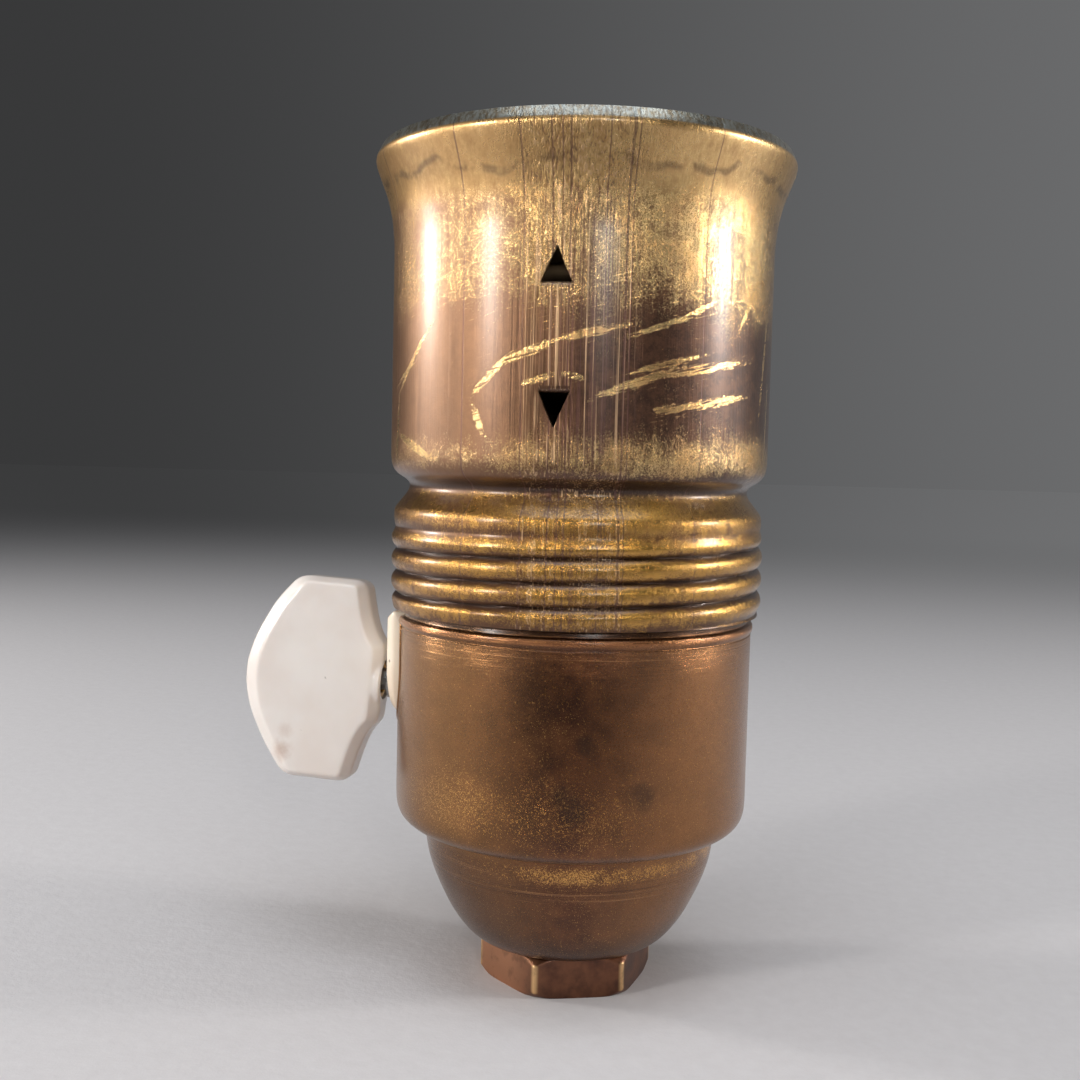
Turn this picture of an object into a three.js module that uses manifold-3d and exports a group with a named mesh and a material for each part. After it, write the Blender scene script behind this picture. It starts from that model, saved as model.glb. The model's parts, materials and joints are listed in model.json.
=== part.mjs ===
// An antique brass E27 lampholder with a porcelain quarter-turn key.
// Millimetres. Z = 0 is the seat of the hexagon, +Z is the lampholder's axis and leads out of the
// mouth, and the key's spindle lies along -X.
import * as THREE from "three";
import { mergeVertices } from "three/addons/utils/BufferGeometryUtils.js";
import Module from "manifold-3d";

const wasm = await Module();
wasm.setup();

// ---------------------------------------------------------------- driving dimensions
const GAP = 0.3; // clearance between pieces that touch
const SHEET = 0.6; // thickness of the spun brass
const FACETS = 36; // facets round the large turned pieces
const FINE = 24; // facets round the small turned pieces
const SCREW_FACETS = 10; // facets round screws and their holes

// Entry hexagon, with an M10 x 1 thread inside
const HEX_FLATS = 16.4;
const HEX_TURN = -75; // degrees, the direction of one flat
const HEX_HEIGHT = 4.1;
const HEX_CHAMFER = 0.7;
const ENTRY_RADIUS = 4.6;
const SPIGOT_RADIUS = 6.4;
const SPIGOT_TOP = 8.6;
const LOCKNUT_FLATS = 16;
const LOCKNUT_HEIGHT = 2.4;

// Base cap: dome, shoulder, straight wall, rolled rim and threaded neck
const CAP_SHEET = 0.7;
const CAP_FLOOR = HEX_HEIGHT + GAP;
const CAP_RADIUS = 18.9;
const SHOULDER_FOOT = 16.9;
const SHOULDER_TOP = 19.9;
const CAP_RIM = 39.3;
const NECK_TOP = 49.6;
const NECK_BORE = 17.45;

// Rolled thread that joins the shell to the cap: right hand, eleven turns to the inch
const JOIN = { pitch: 2.309, amplitude: 0.3, crestZ: 43.3, crestAngle: -Math.PI / 2 };
const NECK_THREAD_RADIUS = 18.5;
const SHELL_THREAD_RADIUS = 19.5;

// Shell: skirt, bead, neck, cylinder and flared mouth
const SHELL_EDGE = 39.9;
const BEAD_Z = 49.6;
const BEAD_RADIUS = 19.6;
const WAIST_Z = 52.5;
const WAIST_RADIUS = 17.95;
const BARREL_FOOT = 55;
const BARREL_RADIUS = 20;
const BARREL_TOP = 79;
const MOUTH_RADIUS = 22;
const MOUTH_TOP = 87.7;

// Cut tabs that hold the porcelain ring in the mouth
const TAB_STATIONS = [-92, 28, 148]; // degrees
const TAB_WIDTH = 2.9;
const TAB_LENGTH = 3.2;
const LOWER_TAB_Z = 62.5; // middle of the sheet of the tabs under the ring
const UPPER_TAB_Z = 72.05; // middle of the sheet of the tabs over the ring

// Porcelain ring round the screw shell
const RING_OUTER = 18.95;
const RING_INNER = 14.4;

// E27 screw shell
const E27 = { pitch: 3.629, amplitude: 0.62, crestZ: 56, crestAngle: 0 };
const E27_MEAN_RADIUS = 12.85; // inner face of the sheet
const E27_SHEET = 0.5;
const E27_FLANGE_INNER = 8.6;
const E27_FOOT = 52.7;
const E27_TOP = 77.5;

// Porcelain inside the cap
const BLOCK_RADIUS = 16.9;
const BLOCK_FOOT = 18.4;
const BLOCK_TOP = 44;
const PLATE_FLANGE_RADIUS = 18.1;
const PLATE_FLANGE_TOP = 50.9;
const PLATE_BOSS_RADIUS = 16.5;
const PLATE_TOP = 52.4;
const ASSEMBLY_SCREW_RADIUS = 14.2; // from the axis
const ASSEMBLY_SCREW_ANGLES = [120, -60];
const SHELL_SCREW_RADIUS = 10;
const SHELL_SCREW_ANGLES = [0, 180];

// Rotary switch: a spindle along X turns a bridge between two leaf contacts
const SPINDLE_Z = 31.2;
const SPINDLE_RADIUS = 2;
const TAIL_RADIUS = 1.2;
const BORE_RADIUS = SPINDLE_RADIUS + GAP;
const TAIL_BORE_RADIUS = TAIL_RADIUS + GAP;
const SPINDLE_END = 15.9;
const TAIL_START = -20.4;
const TAIL_END = -33;
const ROTOR_RADIUS = 5.2;
const BRIDGE_REACH = 6.8;
const BRIDGE_THICK = 1.8;
const LEAF_THICK = 0.5;
const LEAF_FACE = BRIDGE_REACH + GAP; // distance of a leaf's inner face from the spindle
const LEAF_WIDTH = 4;
const CAVITY = { x: [-7.6, 9.9], y: [-8.5, 8.5], floor: 21 };
const CAM_SIZE = 5.6;
const CAM_X = [6.3, 9.4];
const NUT_POCKET_X = 12;

// Terminals, in a pocket open to the wiring space below
const TERMINAL_OUT = 12; // screw's distance from the axis
const TERMINAL_TURN = { line: 0, neutral: 135 }; // degrees from -Y
const TERMINAL_TOP = 20.9;

// Porcelain collar that fills the notch in the cap
const COLLAR_HALF = 6.35;
const COLLAR_CENTRE_Z = 33.75;
const COLLAR_TOP = SHELL_EDGE - GAP;
const COLLAR_FACE = 19.4; // from the axis
const COLLAR_BACK = 13.5;

// Porcelain key, a thick wing in the plane of its spindle
const KEY_CENTRE = 27.3; // middle of the wing, from the lampholder's axis
const KEY_HALF_HEIGHT = 11.1;
const KEY_OUTER_SIDE = [
  [3.8, 11.1],
  [6.3, 7.9],
  [7.9, 4],
  [8.9, 0],
]; // [out, up] from the wing's middle, top to spindle
const KEY_INNER_SIDE = [
  [3.8, 11.1],
  [4.3, 8.9],
  [4.9, 6.6],
  [5.7, 4.9],
  [6.5, 4.2],
]; // [in, up], top to the swelling round the spindle
const KEY_INNER_FACE = -KEY_CENTRE + 6.5;
const KEY_THICK = 5.8;
const KEY_BEVEL = 1.1;
const KEY_BOSS_RADIUS = 2.85;
const KEY_LEAN = 3.6; // degrees, out of square with its spindle
const KEY_TURN = -4.5; // degrees about the spindle, where the key rests
const FERRULE_RADIUS = 2;

// Centre contact tongue
const CONTACT_SCREW_Y = 4.6;
const CONTACT_FOOT_Z = 51.7;
const CONTACT_TOP_Z = 54.4;
const CONTACT_WIDTH = 4;

// ---------------------------------------------------------------- helpers
const radians = THREE.MathUtils.degToRad;

/** A closed geometry as a manifold solid. */
function solid(geometry) {
  const bare = geometry.index ? geometry.toNonIndexed() : geometry.clone();
  bare.deleteAttribute("normal");
  bare.deleteAttribute("uv");
  const merged = mergeVertices(bare, 1e-5);
  return new wasm.Manifold(
    new wasm.Mesh({
      numProp: 3,
      vertProperties: new Float32Array(merged.attributes.position.array),
      triVerts: new Uint32Array(merged.index.array),
    }),
  );
}

/** A manifold solid as a geometry. */
function surface(manifold) {
  const mesh = manifold.getMesh();
  const geometry = new THREE.BufferGeometry();
  geometry.setAttribute("position", new THREE.BufferAttribute(new Float32Array(mesh.vertProperties), 3));
  geometry.setIndex(new THREE.BufferAttribute(new Uint32Array(mesh.triVerts), 1));
  return geometry;
}

/** The first geometry joined with the ones in add and cut by the ones in cut. */
function shaped(first, add = [], cut = []) {
  let result = solid(first);
  for (const extra of add) {
    result = result.add(solid(extra));
  }
  for (const hole of cut) {
    result = result.subtract(solid(hole));
  }
  return surface(result);
}

/** A box from its limits along X, Y and Z. */
function box([x0, x1], [y0, y1], [z0, z1]) {
  return new THREE.BoxGeometry(x1 - x0, y1 - y0, z1 - z0).translate(
    (x0 + x1) / 2,
    (y0 + y1) / 2,
    (z0 + z1) / 2,
  );
}

/** A cylinder along Z. */
function rod(radius, [z0, z1], facets = FINE, [x, y] = [0, 0]) {
  return new THREE.CylinderGeometry(radius, radius, z1 - z0, facets)
    .rotateX(Math.PI / 2)
    .translate(x, y, (z0 + z1) / 2);
}

/** A cylinder round the spindle's line. */
function crossRod(radius, [x0, x1], facets = FINE) {
  return new THREE.CylinderGeometry(radius, radius, x1 - x0, facets)
    .rotateZ(Math.PI / 2)
    .translate((x0 + x1) / 2, 0, SPINDLE_Z);
}

/** A solid turned about Z; its [radius, z] profile starts and ends on the axis. */
function turned(profile, facets = FACETS) {
  const points = profile.map(([radius, z]) => new THREE.Vector2(radius, z));
  return new THREE.LatheGeometry(points, facets).rotateX(Math.PI / 2);
}

/** A hexagonal prism along Z with one flat's normal at the given angle. */
function hexagon(acrossFlats, [z0, z1], turn = 0) {
  const corner = acrossFlats / 2 / Math.cos(Math.PI / 6);
  return new THREE.CylinderGeometry(corner, corner, z1 - z0, 6)
    .rotateX(Math.PI / 2)
    .rotateZ(radians(turn))
    .translate(0, 0, (z0 + z1) / 2);
}

/** How far a rolled thread stands out at a height and an angle about the axis. */
function ripple(thread, z, angle) {
  const turns = (z - thread.crestZ) / thread.pitch;
  return thread.amplitude * Math.cos(2 * Math.PI * turns - (angle - thread.crestAngle));
}

/**
 * A ring round Z from a closed loop of [radius, z, share] rows, outer face first and upwards.
 * share, 0 to 1, is how much of the thread's ripple the row takes.
 */
function ring(loop, thread = null, facets = FACETS) {
  const positions = [];
  for (const [radius, z, share = 0] of loop) {
    for (let j = 0; j < facets; j += 1) {
      const angle = (2 * Math.PI * j) / facets;
      const r = radius + (share ? share * ripple(thread, z, angle) : 0);
      positions.push(r * Math.cos(angle), r * Math.sin(angle), z);
    }
  }
  const faces = [];
  for (let i = 0; i < loop.length; i += 1) {
    const next = (i + 1) % loop.length;
    for (let j = 0; j < facets; j += 1) {
      const a = i * facets + j;
      const b = i * facets + ((j + 1) % facets);
      const c = next * facets + ((j + 1) % facets);
      const d = next * facets + j;
      faces.push(a, b, c, a, c, d);
    }
  }
  const geometry = new THREE.BufferGeometry();
  geometry.setAttribute("position", new THREE.Float32BufferAttribute(positions, 3));
  geometry.setIndex(faces);
  return geometry;
}

/** Threaded rows of one radius between two heights, four to a pitch, fading in at both ends. */
function threadRows(thread, radius, z0, z1) {
  const count = Math.round(((z1 - z0) / thread.pitch) * 4);
  return Array.from({ length: count + 1 }, (_, i) => {
    const fade = Math.min(1, (i + 0.5) / 2, (count - i + 0.5) / 2);
    return [radius, z0 + ((z1 - z0) * i) / count, fade];
  });
}

/** The same rows moved inwards by a sheet's thickness, in the opposite order. */
function innerRows(rows, thickness) {
  return rows.map(([radius, z, share = 0]) => [radius - thickness, z, share]).reverse();
}

/** An outline in the XY plane extruded along Z, with its edges bevelled inside the outline. */
function slab(shape, depth, bevel = 0) {
  return new THREE.ExtrudeGeometry(shape, {
    depth: depth - 2 * bevel,
    bevelEnabled: bevel > 0,
    bevelThickness: bevel,
    bevelSize: bevel,
    bevelOffset: -bevel,
    bevelSegments: 1,
    curveSegments: 5,
  }).translate(0, 0, bevel);
}

/** A polygon as a shape. */
function polygon(points) {
  return new THREE.Shape(points.map(([x, y]) => new THREE.Vector2(x, y)));
}

/** A turned screw along Z: a head from seat to top and a shank down to end. */
function screw({ shank, head, end, seat, top, at }) {
  const side = [
    [0, end],
    [shank, end],
    [shank, seat],
    [head, seat],
    [head, top],
    [0, top],
  ];
  return turned(side, SCREW_FACETS).translate(at[0], at[1], 0);
}

/** A point at a distance from the axis and an angle in degrees. */
function polar(radius, degrees) {
  return [radius * Math.cos(radians(degrees)), radius * Math.sin(radians(degrees))];
}

// ---------------------------------------------------------------- brass body
function hexBase() {
  const corner = HEX_FLATS / 2 / Math.cos(Math.PI / 6);
  const chamfered = turned([
    [0, 0],
    [corner - HEX_CHAMFER, 0],
    [corner, HEX_CHAMFER],
    [corner, HEX_HEIGHT - HEX_CHAMFER],
    [corner - HEX_CHAMFER, HEX_HEIGHT],
    [0, HEX_HEIGHT],
  ]);
  const nut = solid(hexagon(HEX_FLATS, [0, HEX_HEIGHT], HEX_TURN)).intersect(solid(chamfered));
  return shaped(
    surface(nut),
    [rod(SPIGOT_RADIUS, [HEX_HEIGHT - 1, SPIGOT_TOP])],
    [rod(ENTRY_RADIUS, [-1, SPIGOT_TOP + 1])],
  );
}

function nippleLocknut() {
  const foot = CAP_FLOOR + CAP_SHEET + GAP;
  const height = [foot, foot + LOCKNUT_HEIGHT];
  return shaped(hexagon(LOCKNUT_FLATS, height), [], [rod(SPIGOT_RADIUS + GAP, [foot - 1, height[1] + 1])]);
}

/** Outer profile of the dome and the shoulder, [radius, z] upwards. */
const DOME = [
  [SPIGOT_RADIUS + GAP, CAP_FLOOR],
  [9.7, CAP_FLOOR],
  [11.2, 5.45],
  [12.8, 7.6],
  [13.9, 9.8],
  [14.9, 12.1],
  [15.5, 14.3],
  [15.75, SHOULDER_FOOT],
];
const SHOULDER = [
  [17.3, 17.1],
  [18.4, 17.9],
  [18.8, 18.8],
  [CAP_RADIUS, SHOULDER_TOP],
];

/** The collar's U, straight at the top and round at the foot, drawn in (y, z). */
function collarShape(half, top) {
  const shape = new THREE.Shape();
  shape.moveTo(half, top);
  shape.lineTo(-half, top);
  shape.lineTo(-half, COLLAR_CENTRE_Z);
  shape.absarc(0, COLLAR_CENTRE_Z, half, Math.PI, 2 * Math.PI, false);
  return shape;
}

/** A shape drawn in (y, z) extruded along X. */
function extrudeAlongX(shape, [x0, x1], bevel = 0) {
  const turn = new THREE.Matrix4().makeBasis(
    new THREE.Vector3(0, 1, 0),
    new THREE.Vector3(0, 0, 1),
    new THREE.Vector3(1, 0, 0),
  );
  return slab(shape, x1 - x0, bevel).applyMatrix4(turn).translate(x0, 0, 0);
}

function baseCap() {
  const wall = [
    ...DOME,
    ...SHOULDER,
    [CAP_RADIUS, CAP_RIM - 1.1],
    [CAP_RADIUS + 0.15, CAP_RIM - 0.7],
    [CAP_RADIUS + 0.1, CAP_RIM - 0.3],
    [CAP_RADIUS - 0.3, CAP_RIM],
    ...threadRows(JOIN, NECK_THREAD_RADIUS, CAP_RIM + 0.5, NECK_TOP - 0.3),
    [NECK_THREAD_RADIUS - 0.1, NECK_TOP],
  ];
  const lining = [
    [NECK_BORE, NECK_TOP],
    [NECK_BORE, CAP_RIM - 0.8],
    [CAP_RADIUS - CAP_SHEET, CAP_RIM - 1.5],
    [CAP_RADIUS - CAP_SHEET, SHOULDER_TOP],
    [18, 18.9],
    [17.6, 18.35],
    [16.9, 17.85],
    [15.05, 17.65],
    ...DOME.slice(2, -1).map(([radius, z]) => [radius - CAP_SHEET, z + 0.35]).reverse(),
    [9.4, CAP_FLOOR + CAP_SHEET],
    [SPIGOT_RADIUS + GAP, CAP_FLOOR + CAP_SHEET],
  ];
  const side = [-CAP_RADIUS - 3, -CAP_RADIUS + 5];
  const notch = extrudeAlongX(collarShape(COLLAR_HALF + GAP, NECK_TOP + 1), side);
  return shaped(ring([...wall, ...lining], JOIN), [], [notch]);
}

/** Outer profile of the shell above its thread, [radius, z] upwards. */
const SHELL_PROFILE = [
  [BEAD_RADIUS, BEAD_Z],
  [BEAD_RADIUS - 0.1, BEAD_Z + 0.9],
  [WAIST_RADIUS + 0.85, BEAD_Z + 1.7],
  [WAIST_RADIUS, WAIST_Z],
  [WAIST_RADIUS + 0.1, WAIST_Z + 0.9],
  [BARREL_RADIUS - 0.6, BARREL_FOOT - 0.7],
  [BARREL_RADIUS, BARREL_FOOT],
  [BARREL_RADIUS, BARREL_TOP],
  [BARREL_RADIUS + 0.25, BARREL_TOP + 1.6],
  [BARREL_RADIUS + 0.6, BARREL_TOP + 3.2],
  [BARREL_RADIUS + 1.15, BARREL_TOP + 4.8],
  [MOUTH_RADIUS - 0.2, MOUTH_TOP - 2.4],
  [MOUTH_RADIUS, MOUTH_TOP - 1.2],
  [MOUTH_RADIUS - 0.1, MOUTH_TOP - 0.4],
  [MOUTH_RADIUS - 0.5, MOUTH_TOP],
];

/** A triangular window through the shell, its base at height z and its point towards tip. */
function windowCut(z, tip) {
  const outline = polygon([
    [-TAB_WIDTH / 2, z],
    [TAB_WIDTH / 2, z],
    [0, z + tip * TAB_LENGTH],
  ]);
  return extrudeAlongX(outline, [BARREL_RADIUS - 2, BARREL_RADIUS + 2]);
}

/** The tab bent inwards at a window's base. */
function bentTab(z) {
  const root = BARREL_RADIUS - SHEET / 2;
  const outline = polygon([
    [root, -TAB_WIDTH / 2],
    [root, TAB_WIDTH / 2],
    [root - TAB_LENGTH, 0],
  ]);
  return slab(outline, SHEET).translate(0, 0, z - SHEET / 2);
}

function shell() {
  const wall = [
    ...threadRows(JOIN, SHELL_THREAD_RADIUS, SHELL_EDGE, BEAD_Z - 0.9),
    ...SHELL_PROFILE,
  ];
  const lining = innerRows(wall, SHEET);
  const cuts = [];
  const tabs = [];
  for (const station of TAB_STATIONS) {
    const turn = radians(station);
    cuts.push(windowCut(LOWER_TAB_Z - SHEET / 2, -1).rotateZ(turn));
    cuts.push(windowCut(UPPER_TAB_Z + SHEET / 2, 1).rotateZ(turn));
    tabs.push(bentTab(LOWER_TAB_Z).rotateZ(turn), bentTab(UPPER_TAB_Z).rotateZ(turn));
  }
  return shaped(shaped(ring([...wall, ...lining], JOIN), [], cuts), tabs);
}

// ---------------------------------------------------------------- lamp side
function mouthRing() {
  const foot = LOWER_TAB_Z + SHEET / 2 + GAP;
  const top = UPPER_TAB_Z - SHEET / 2 - GAP;
  const edge = 0.8;
  return ring([
    [RING_OUTER - edge, foot],
    [RING_OUTER, foot + edge],
    [RING_OUTER, top - edge],
    [RING_OUTER - edge, top],
    [RING_INNER + edge, top],
    [RING_INNER, top - edge],
    [RING_INNER, foot + edge],
    [RING_INNER + edge, foot],
  ]);
}

function screwShell() {
  const outer = E27_MEAN_RADIUS + E27_SHEET;
  const wall = [
    [outer - 0.3, E27_FOOT],
    [outer - 0.1, E27_FOOT + 0.8],
    ...threadRows(E27, outer, E27_FOOT + 1.9, E27_TOP - 1),
    [outer + 0.2, E27_TOP],
  ];
  const lining = [
    ...innerRows(wall.slice(2), E27_SHEET),
    [E27_MEAN_RADIUS - 0.4, E27_FOOT + 1.2],
    [E27_MEAN_RADIUS - 0.8, E27_FOOT + E27_SHEET],
    [E27_FLANGE_INNER, E27_FOOT + E27_SHEET],
    [E27_FLANGE_INNER, E27_FOOT],
  ];
  const holes = SHELL_SCREW_ANGLES.map((angle) =>
    rod(1.3, [E27_FOOT - 1, E27_FOOT + 1], SCREW_FACETS, polar(SHELL_SCREW_RADIUS, angle)),
  );
  return shaped(ring([...wall, ...lining], E27, 32), [], holes);
}

function shellScrew(angle) {
  const seat = E27_FOOT + E27_SHEET + GAP;
  return screw({
    shank: 1,
    head: 1.7,
    end: 46.4,
    seat,
    top: seat + 1.3,
    at: polar(SHELL_SCREW_RADIUS, angle),
  });
}

function assemblyScrew(angle) {
  return screw({
    shank: 1.5,
    head: 2.8,
    end: 28,
    seat: 49.8,
    top: 51.9,
    at: polar(ASSEMBLY_SCREW_RADIUS, angle),
  });
}

/** Sprung tongue: a clamped foot, a rise to the contact pad and a nose turned down. */
function centreContact() {
  const foot = CONTACT_FOOT_Z;
  const pad = CONTACT_TOP_Z;
  const side = polygon([
    [6.8, foot],
    [6.8, foot + LEAF_THICK],
    [2.4, foot + LEAF_THICK],
    [1.2, pad],
    [-1.8, pad],
    [-3.4, pad - 1],
    [-3.2, pad - 1.5],
    [-1.6, pad - LEAF_THICK],
    [0.9, pad - LEAF_THICK],
    [2.1, foot],
  ]);
  const half = CONTACT_WIDTH / 2;
  const hole = rod(1.5, [foot - 1, foot + 1], SCREW_FACETS, [0, CONTACT_SCREW_Y]);
  return shaped(extrudeAlongX(side, [-half, half]), [], [hole]);
}

function centreContactScrew() {
  return screw({
    shank: 1,
    head: 1.9,
    end: 47.2,
    seat: CONTACT_FOOT_Z + LEAF_THICK + 0.4,
    top: CONTACT_FOOT_Z + LEAF_THICK + 1.7,
    at: [0, CONTACT_SCREW_Y],
  });
}

// ---------------------------------------------------------------- porcelain
/** The strap's groove down the side of both porcelain pieces. */
function strapGroove() {
  return box([-2.4, 2.4], [-19, -13.9], [BLOCK_FOOT - 1, PLATE_TOP + 1]).rotateZ(
    radians(TERMINAL_TURN.neutral),
  );
}

function terminalPocket(turn) {
  return box([-3.4, 3.4], [-15.6, -8.4], [BLOCK_FOOT - 1, 22.6]).rotateZ(radians(turn));
}

function switchBlock() {
  const pocketSide = [-BLOCK_RADIUS - 1, -COLLAR_BACK + GAP];
  const nutHalf = 4.6;
  const cuts = [
    box(CAVITY.x, CAVITY.y, [CAVITY.floor, BLOCK_TOP + 1]),
    extrudeAlongX(collarShape(COLLAR_HALF + GAP, COLLAR_TOP + GAP), pocketSide),
    box([NUT_POCKET_X, BLOCK_RADIUS + 1], [-nutHalf, nutHalf], [SPINDLE_Z - nutHalf, SPINDLE_Z + nutHalf]),
    crossRod(BORE_RADIUS, [-COLLAR_BACK - 1, NUT_POCKET_X + 1], 16),
    terminalPocket(TERMINAL_TURN.line),
    terminalPocket(TERMINAL_TURN.neutral),
    strapGroove(),
    ...ASSEMBLY_SCREW_ANGLES.map((angle) =>
      rod(1.8, [27.6, BLOCK_TOP + 1], SCREW_FACETS, polar(ASSEMBLY_SCREW_RADIUS, angle)),
    ),
  ];
  return shaped(rod(BLOCK_RADIUS, [BLOCK_FOOT, BLOCK_TOP], FACETS), [], cuts);
}

function lampPlate() {
  const body = turned([
    [0, BLOCK_TOP + GAP],
    [BLOCK_RADIUS, BLOCK_TOP + GAP],
    [BLOCK_RADIUS, NECK_TOP + GAP],
    [PLATE_FLANGE_RADIUS, NECK_TOP + GAP],
    [PLATE_FLANGE_RADIUS, PLATE_FLANGE_TOP],
    [PLATE_BOSS_RADIUS, PLATE_FLANGE_TOP],
    [PLATE_BOSS_RADIUS, PLATE_TOP],
    [0, PLATE_TOP],
  ]);
  const through = [BLOCK_TOP, PLATE_TOP + 1];
  const strapSeat = box([-2.4, 2.4], [-17, -9.9], [51.6, PLATE_TOP + 1]);
  const cuts = [
    box([-2.6, 2.6], [-4.2, 7.9], [50.4, PLATE_TOP + 1]),
    box([-2.4, 2.4], [LEAF_FACE - GAP, LEAF_FACE + LEAF_THICK + GAP], through),
    rod(1.3, [46.9, PLATE_TOP + 1], SCREW_FACETS, [0, CONTACT_SCREW_Y]),
    strapGroove(),
    strapSeat.rotateZ(radians(TERMINAL_TURN.neutral)),
  ];
  for (const angle of ASSEMBLY_SCREW_ANGLES) {
    const at = polar(ASSEMBLY_SCREW_RADIUS, angle);
    cuts.push(rod(1.8, through, SCREW_FACETS, at), rod(3.1, [49.5, PLATE_TOP + 1], 16, at));
  }
  for (const angle of SHELL_SCREW_ANGLES) {
    cuts.push(rod(1.3, [46.1, PLATE_TOP + 1], SCREW_FACETS, polar(SHELL_SCREW_RADIUS, angle)));
  }
  return shaped(body, [], cuts);
}

function keyCollar() {
  const tongue = extrudeAlongX(collarShape(COLLAR_HALF, COLLAR_TOP), [-COLLAR_FACE, -COLLAR_BACK], 0.8);
  return shaped(tongue, [], [crossRod(BORE_RADIUS, [-COLLAR_FACE - 1, -COLLAR_BACK + 1], 16)]);
}

// ---------------------------------------------------------------- switch
function terminal(turn) {
  const bar = box([-2.9, 2.9], [-14.6, -9], [BLOCK_FOOT + GAP, TERMINAL_TOP]);
  const tapped = rod(1.5, [BLOCK_FOOT - 1, TERMINAL_TOP + 1], SCREW_FACETS, [0, -TERMINAL_OUT]);
  return shaped(bar, [], [tapped]).rotateZ(radians(turn));
}

function terminalScrew(turn) {
  const foot = BLOCK_FOOT - 1.7;
  const side = [
    [0, foot],
    [2.3, foot],
    [2.3, BLOCK_FOOT],
    [1.2, BLOCK_FOOT],
    [1.2, TERMINAL_TOP - 0.5],
    [0, TERMINAL_TOP - 0.5],
  ];
  return turned(side, SCREW_FACETS).translate(0, -TERMINAL_OUT, 0).rotateZ(radians(turn));
}

/** Leaf on the line side, standing on its terminal. */
function lineLeaf() {
  const half = LEAF_WIDTH / 2;
  const foot = TERMINAL_TOP + 0.4;
  const upright = [-LEAF_FACE - LEAF_THICK, -LEAF_FACE];
  return shaped(box([-half, half], upright, [foot, SPINDLE_Z + 6.8]), [
    box([-half, half], [-TERMINAL_OUT - 1, upright[1]], [foot, foot + LEAF_THICK]),
  ]);
}

/** Leaf on the lamp side, which rises through the plate to the centre contact. */
function lampLeaf() {
  const half = LEAF_WIDTH / 2;
  const top = CONTACT_FOOT_Z - 0.4;
  const upright = [LEAF_FACE, LEAF_FACE + LEAF_THICK];
  return shaped(
    box([-half, half], upright, [SPINDLE_Z - 6.8, top]),
    [box([-half, half], [2.6, upright[1]], [top - LEAF_THICK, top])],
    [rod(1.3, [top - 1, top + 1], SCREW_FACETS, [0, CONTACT_SCREW_Y])],
  );
}

/** Strap from the neutral terminal up to the screw shell's flange. */
function sideStrap() {
  const half = 2;
  const foot = TERMINAL_TOP + 0.4;
  const upright = [-14.9, -14.4];
  return shaped(box([-half, half], upright, [foot, PLATE_TOP]), [
    box([-half, half], [upright[0], -11.2], [foot, foot + LEAF_THICK]),
    box([-half, half], [upright[0], -10.2], [PLATE_TOP - LEAF_THICK, PLATE_TOP]),
  ]).rotateZ(radians(TERMINAL_TURN.neutral));
}

function rotorDisc(span) {
  return shaped(crossRod(ROTOR_RADIUS, span), [], [crossRod(BORE_RADIUS, [span[0] - 1, span[1] + 1], 16)]);
}

function contactBridge() {
  const half = BRIDGE_THICK / 2;
  const span = [-half, half];
  return shaped(
    box(span, [-BRIDGE_REACH, BRIDGE_REACH], [SPINDLE_Z - 1.3, SPINDLE_Z + 1.3]),
    [crossRod(3.6, span)],
    [crossRod(BORE_RADIUS, [-half - 1, half + 1], 16)],
  );
}

function detentCam() {
  const half = CAM_SIZE / 2;
  const square = box(CAM_X, [-half, half], [SPINDLE_Z - half, SPINDLE_Z + half]);
  const rounded = solid(square).intersect(solid(crossRod(half * 1.28, CAM_X)));
  return shaped(surface(rounded), [], [crossRod(BORE_RADIUS, [CAM_X[0] - 1, CAM_X[1] + 1], 16)]);
}

/** Bridge-shaped leaf under the cam. */
function detentSpring() {
  const across = [CAM_X[0] + 0.1, CAM_X[1] - 0.1];
  const top = SPINDLE_Z - 4.1;
  const half = 6.1;
  const leg = [half - LEAF_THICK, half];
  const legs = [leg, leg.map((y) => -y).reverse()].map((span) =>
    box(across, span, [CAVITY.floor + GAP, top]),
  );
  return shaped(box(across, [-half, half], [top - LEAF_THICK, top]), legs);
}

function spindle() {
  return shaped(crossRod(SPINDLE_RADIUS, [TAIL_START, SPINDLE_END], 16), [
    crossRod(TAIL_RADIUS, [TAIL_END, TAIL_START + 1], SCREW_FACETS),
  ]);
}

function spindleWasher() {
  const span = [NUT_POCKET_X + GAP, NUT_POCKET_X + GAP + 0.7];
  return shaped(crossRod(3.9, span), [], [crossRod(BORE_RADIUS, [span[0] - 1, span[1] + 1], 16)]);
}

function spindleNut() {
  const foot = NUT_POCKET_X + GAP + 0.7 + GAP;
  const span = [foot, foot + 2.3];
  const nut = hexagon(7, span).rotateY(Math.PI / 2).translate(0, 0, SPINDLE_Z);
  return shaped(nut, [], [crossRod(BORE_RADIUS, [foot - 1, span[1] + 1], 16)]);
}

// ---------------------------------------------------------------- key
/** Outline of the wing: flat ends, a bowed outer side and an inner side that swells at the spindle. */
function keyOutline() {
  const below = (side) => side.map(([x, y]) => [x, -y]).reverse();
  const outer = [...KEY_OUTER_SIDE, ...below(KEY_OUTER_SIDE.slice(0, -1))];
  const inner = [...KEY_INNER_SIDE, ...below(KEY_INNER_SIDE)].map(([x, y]) => [-x, y]);
  return polygon([...outer.reverse(), ...inner]);
}

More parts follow.
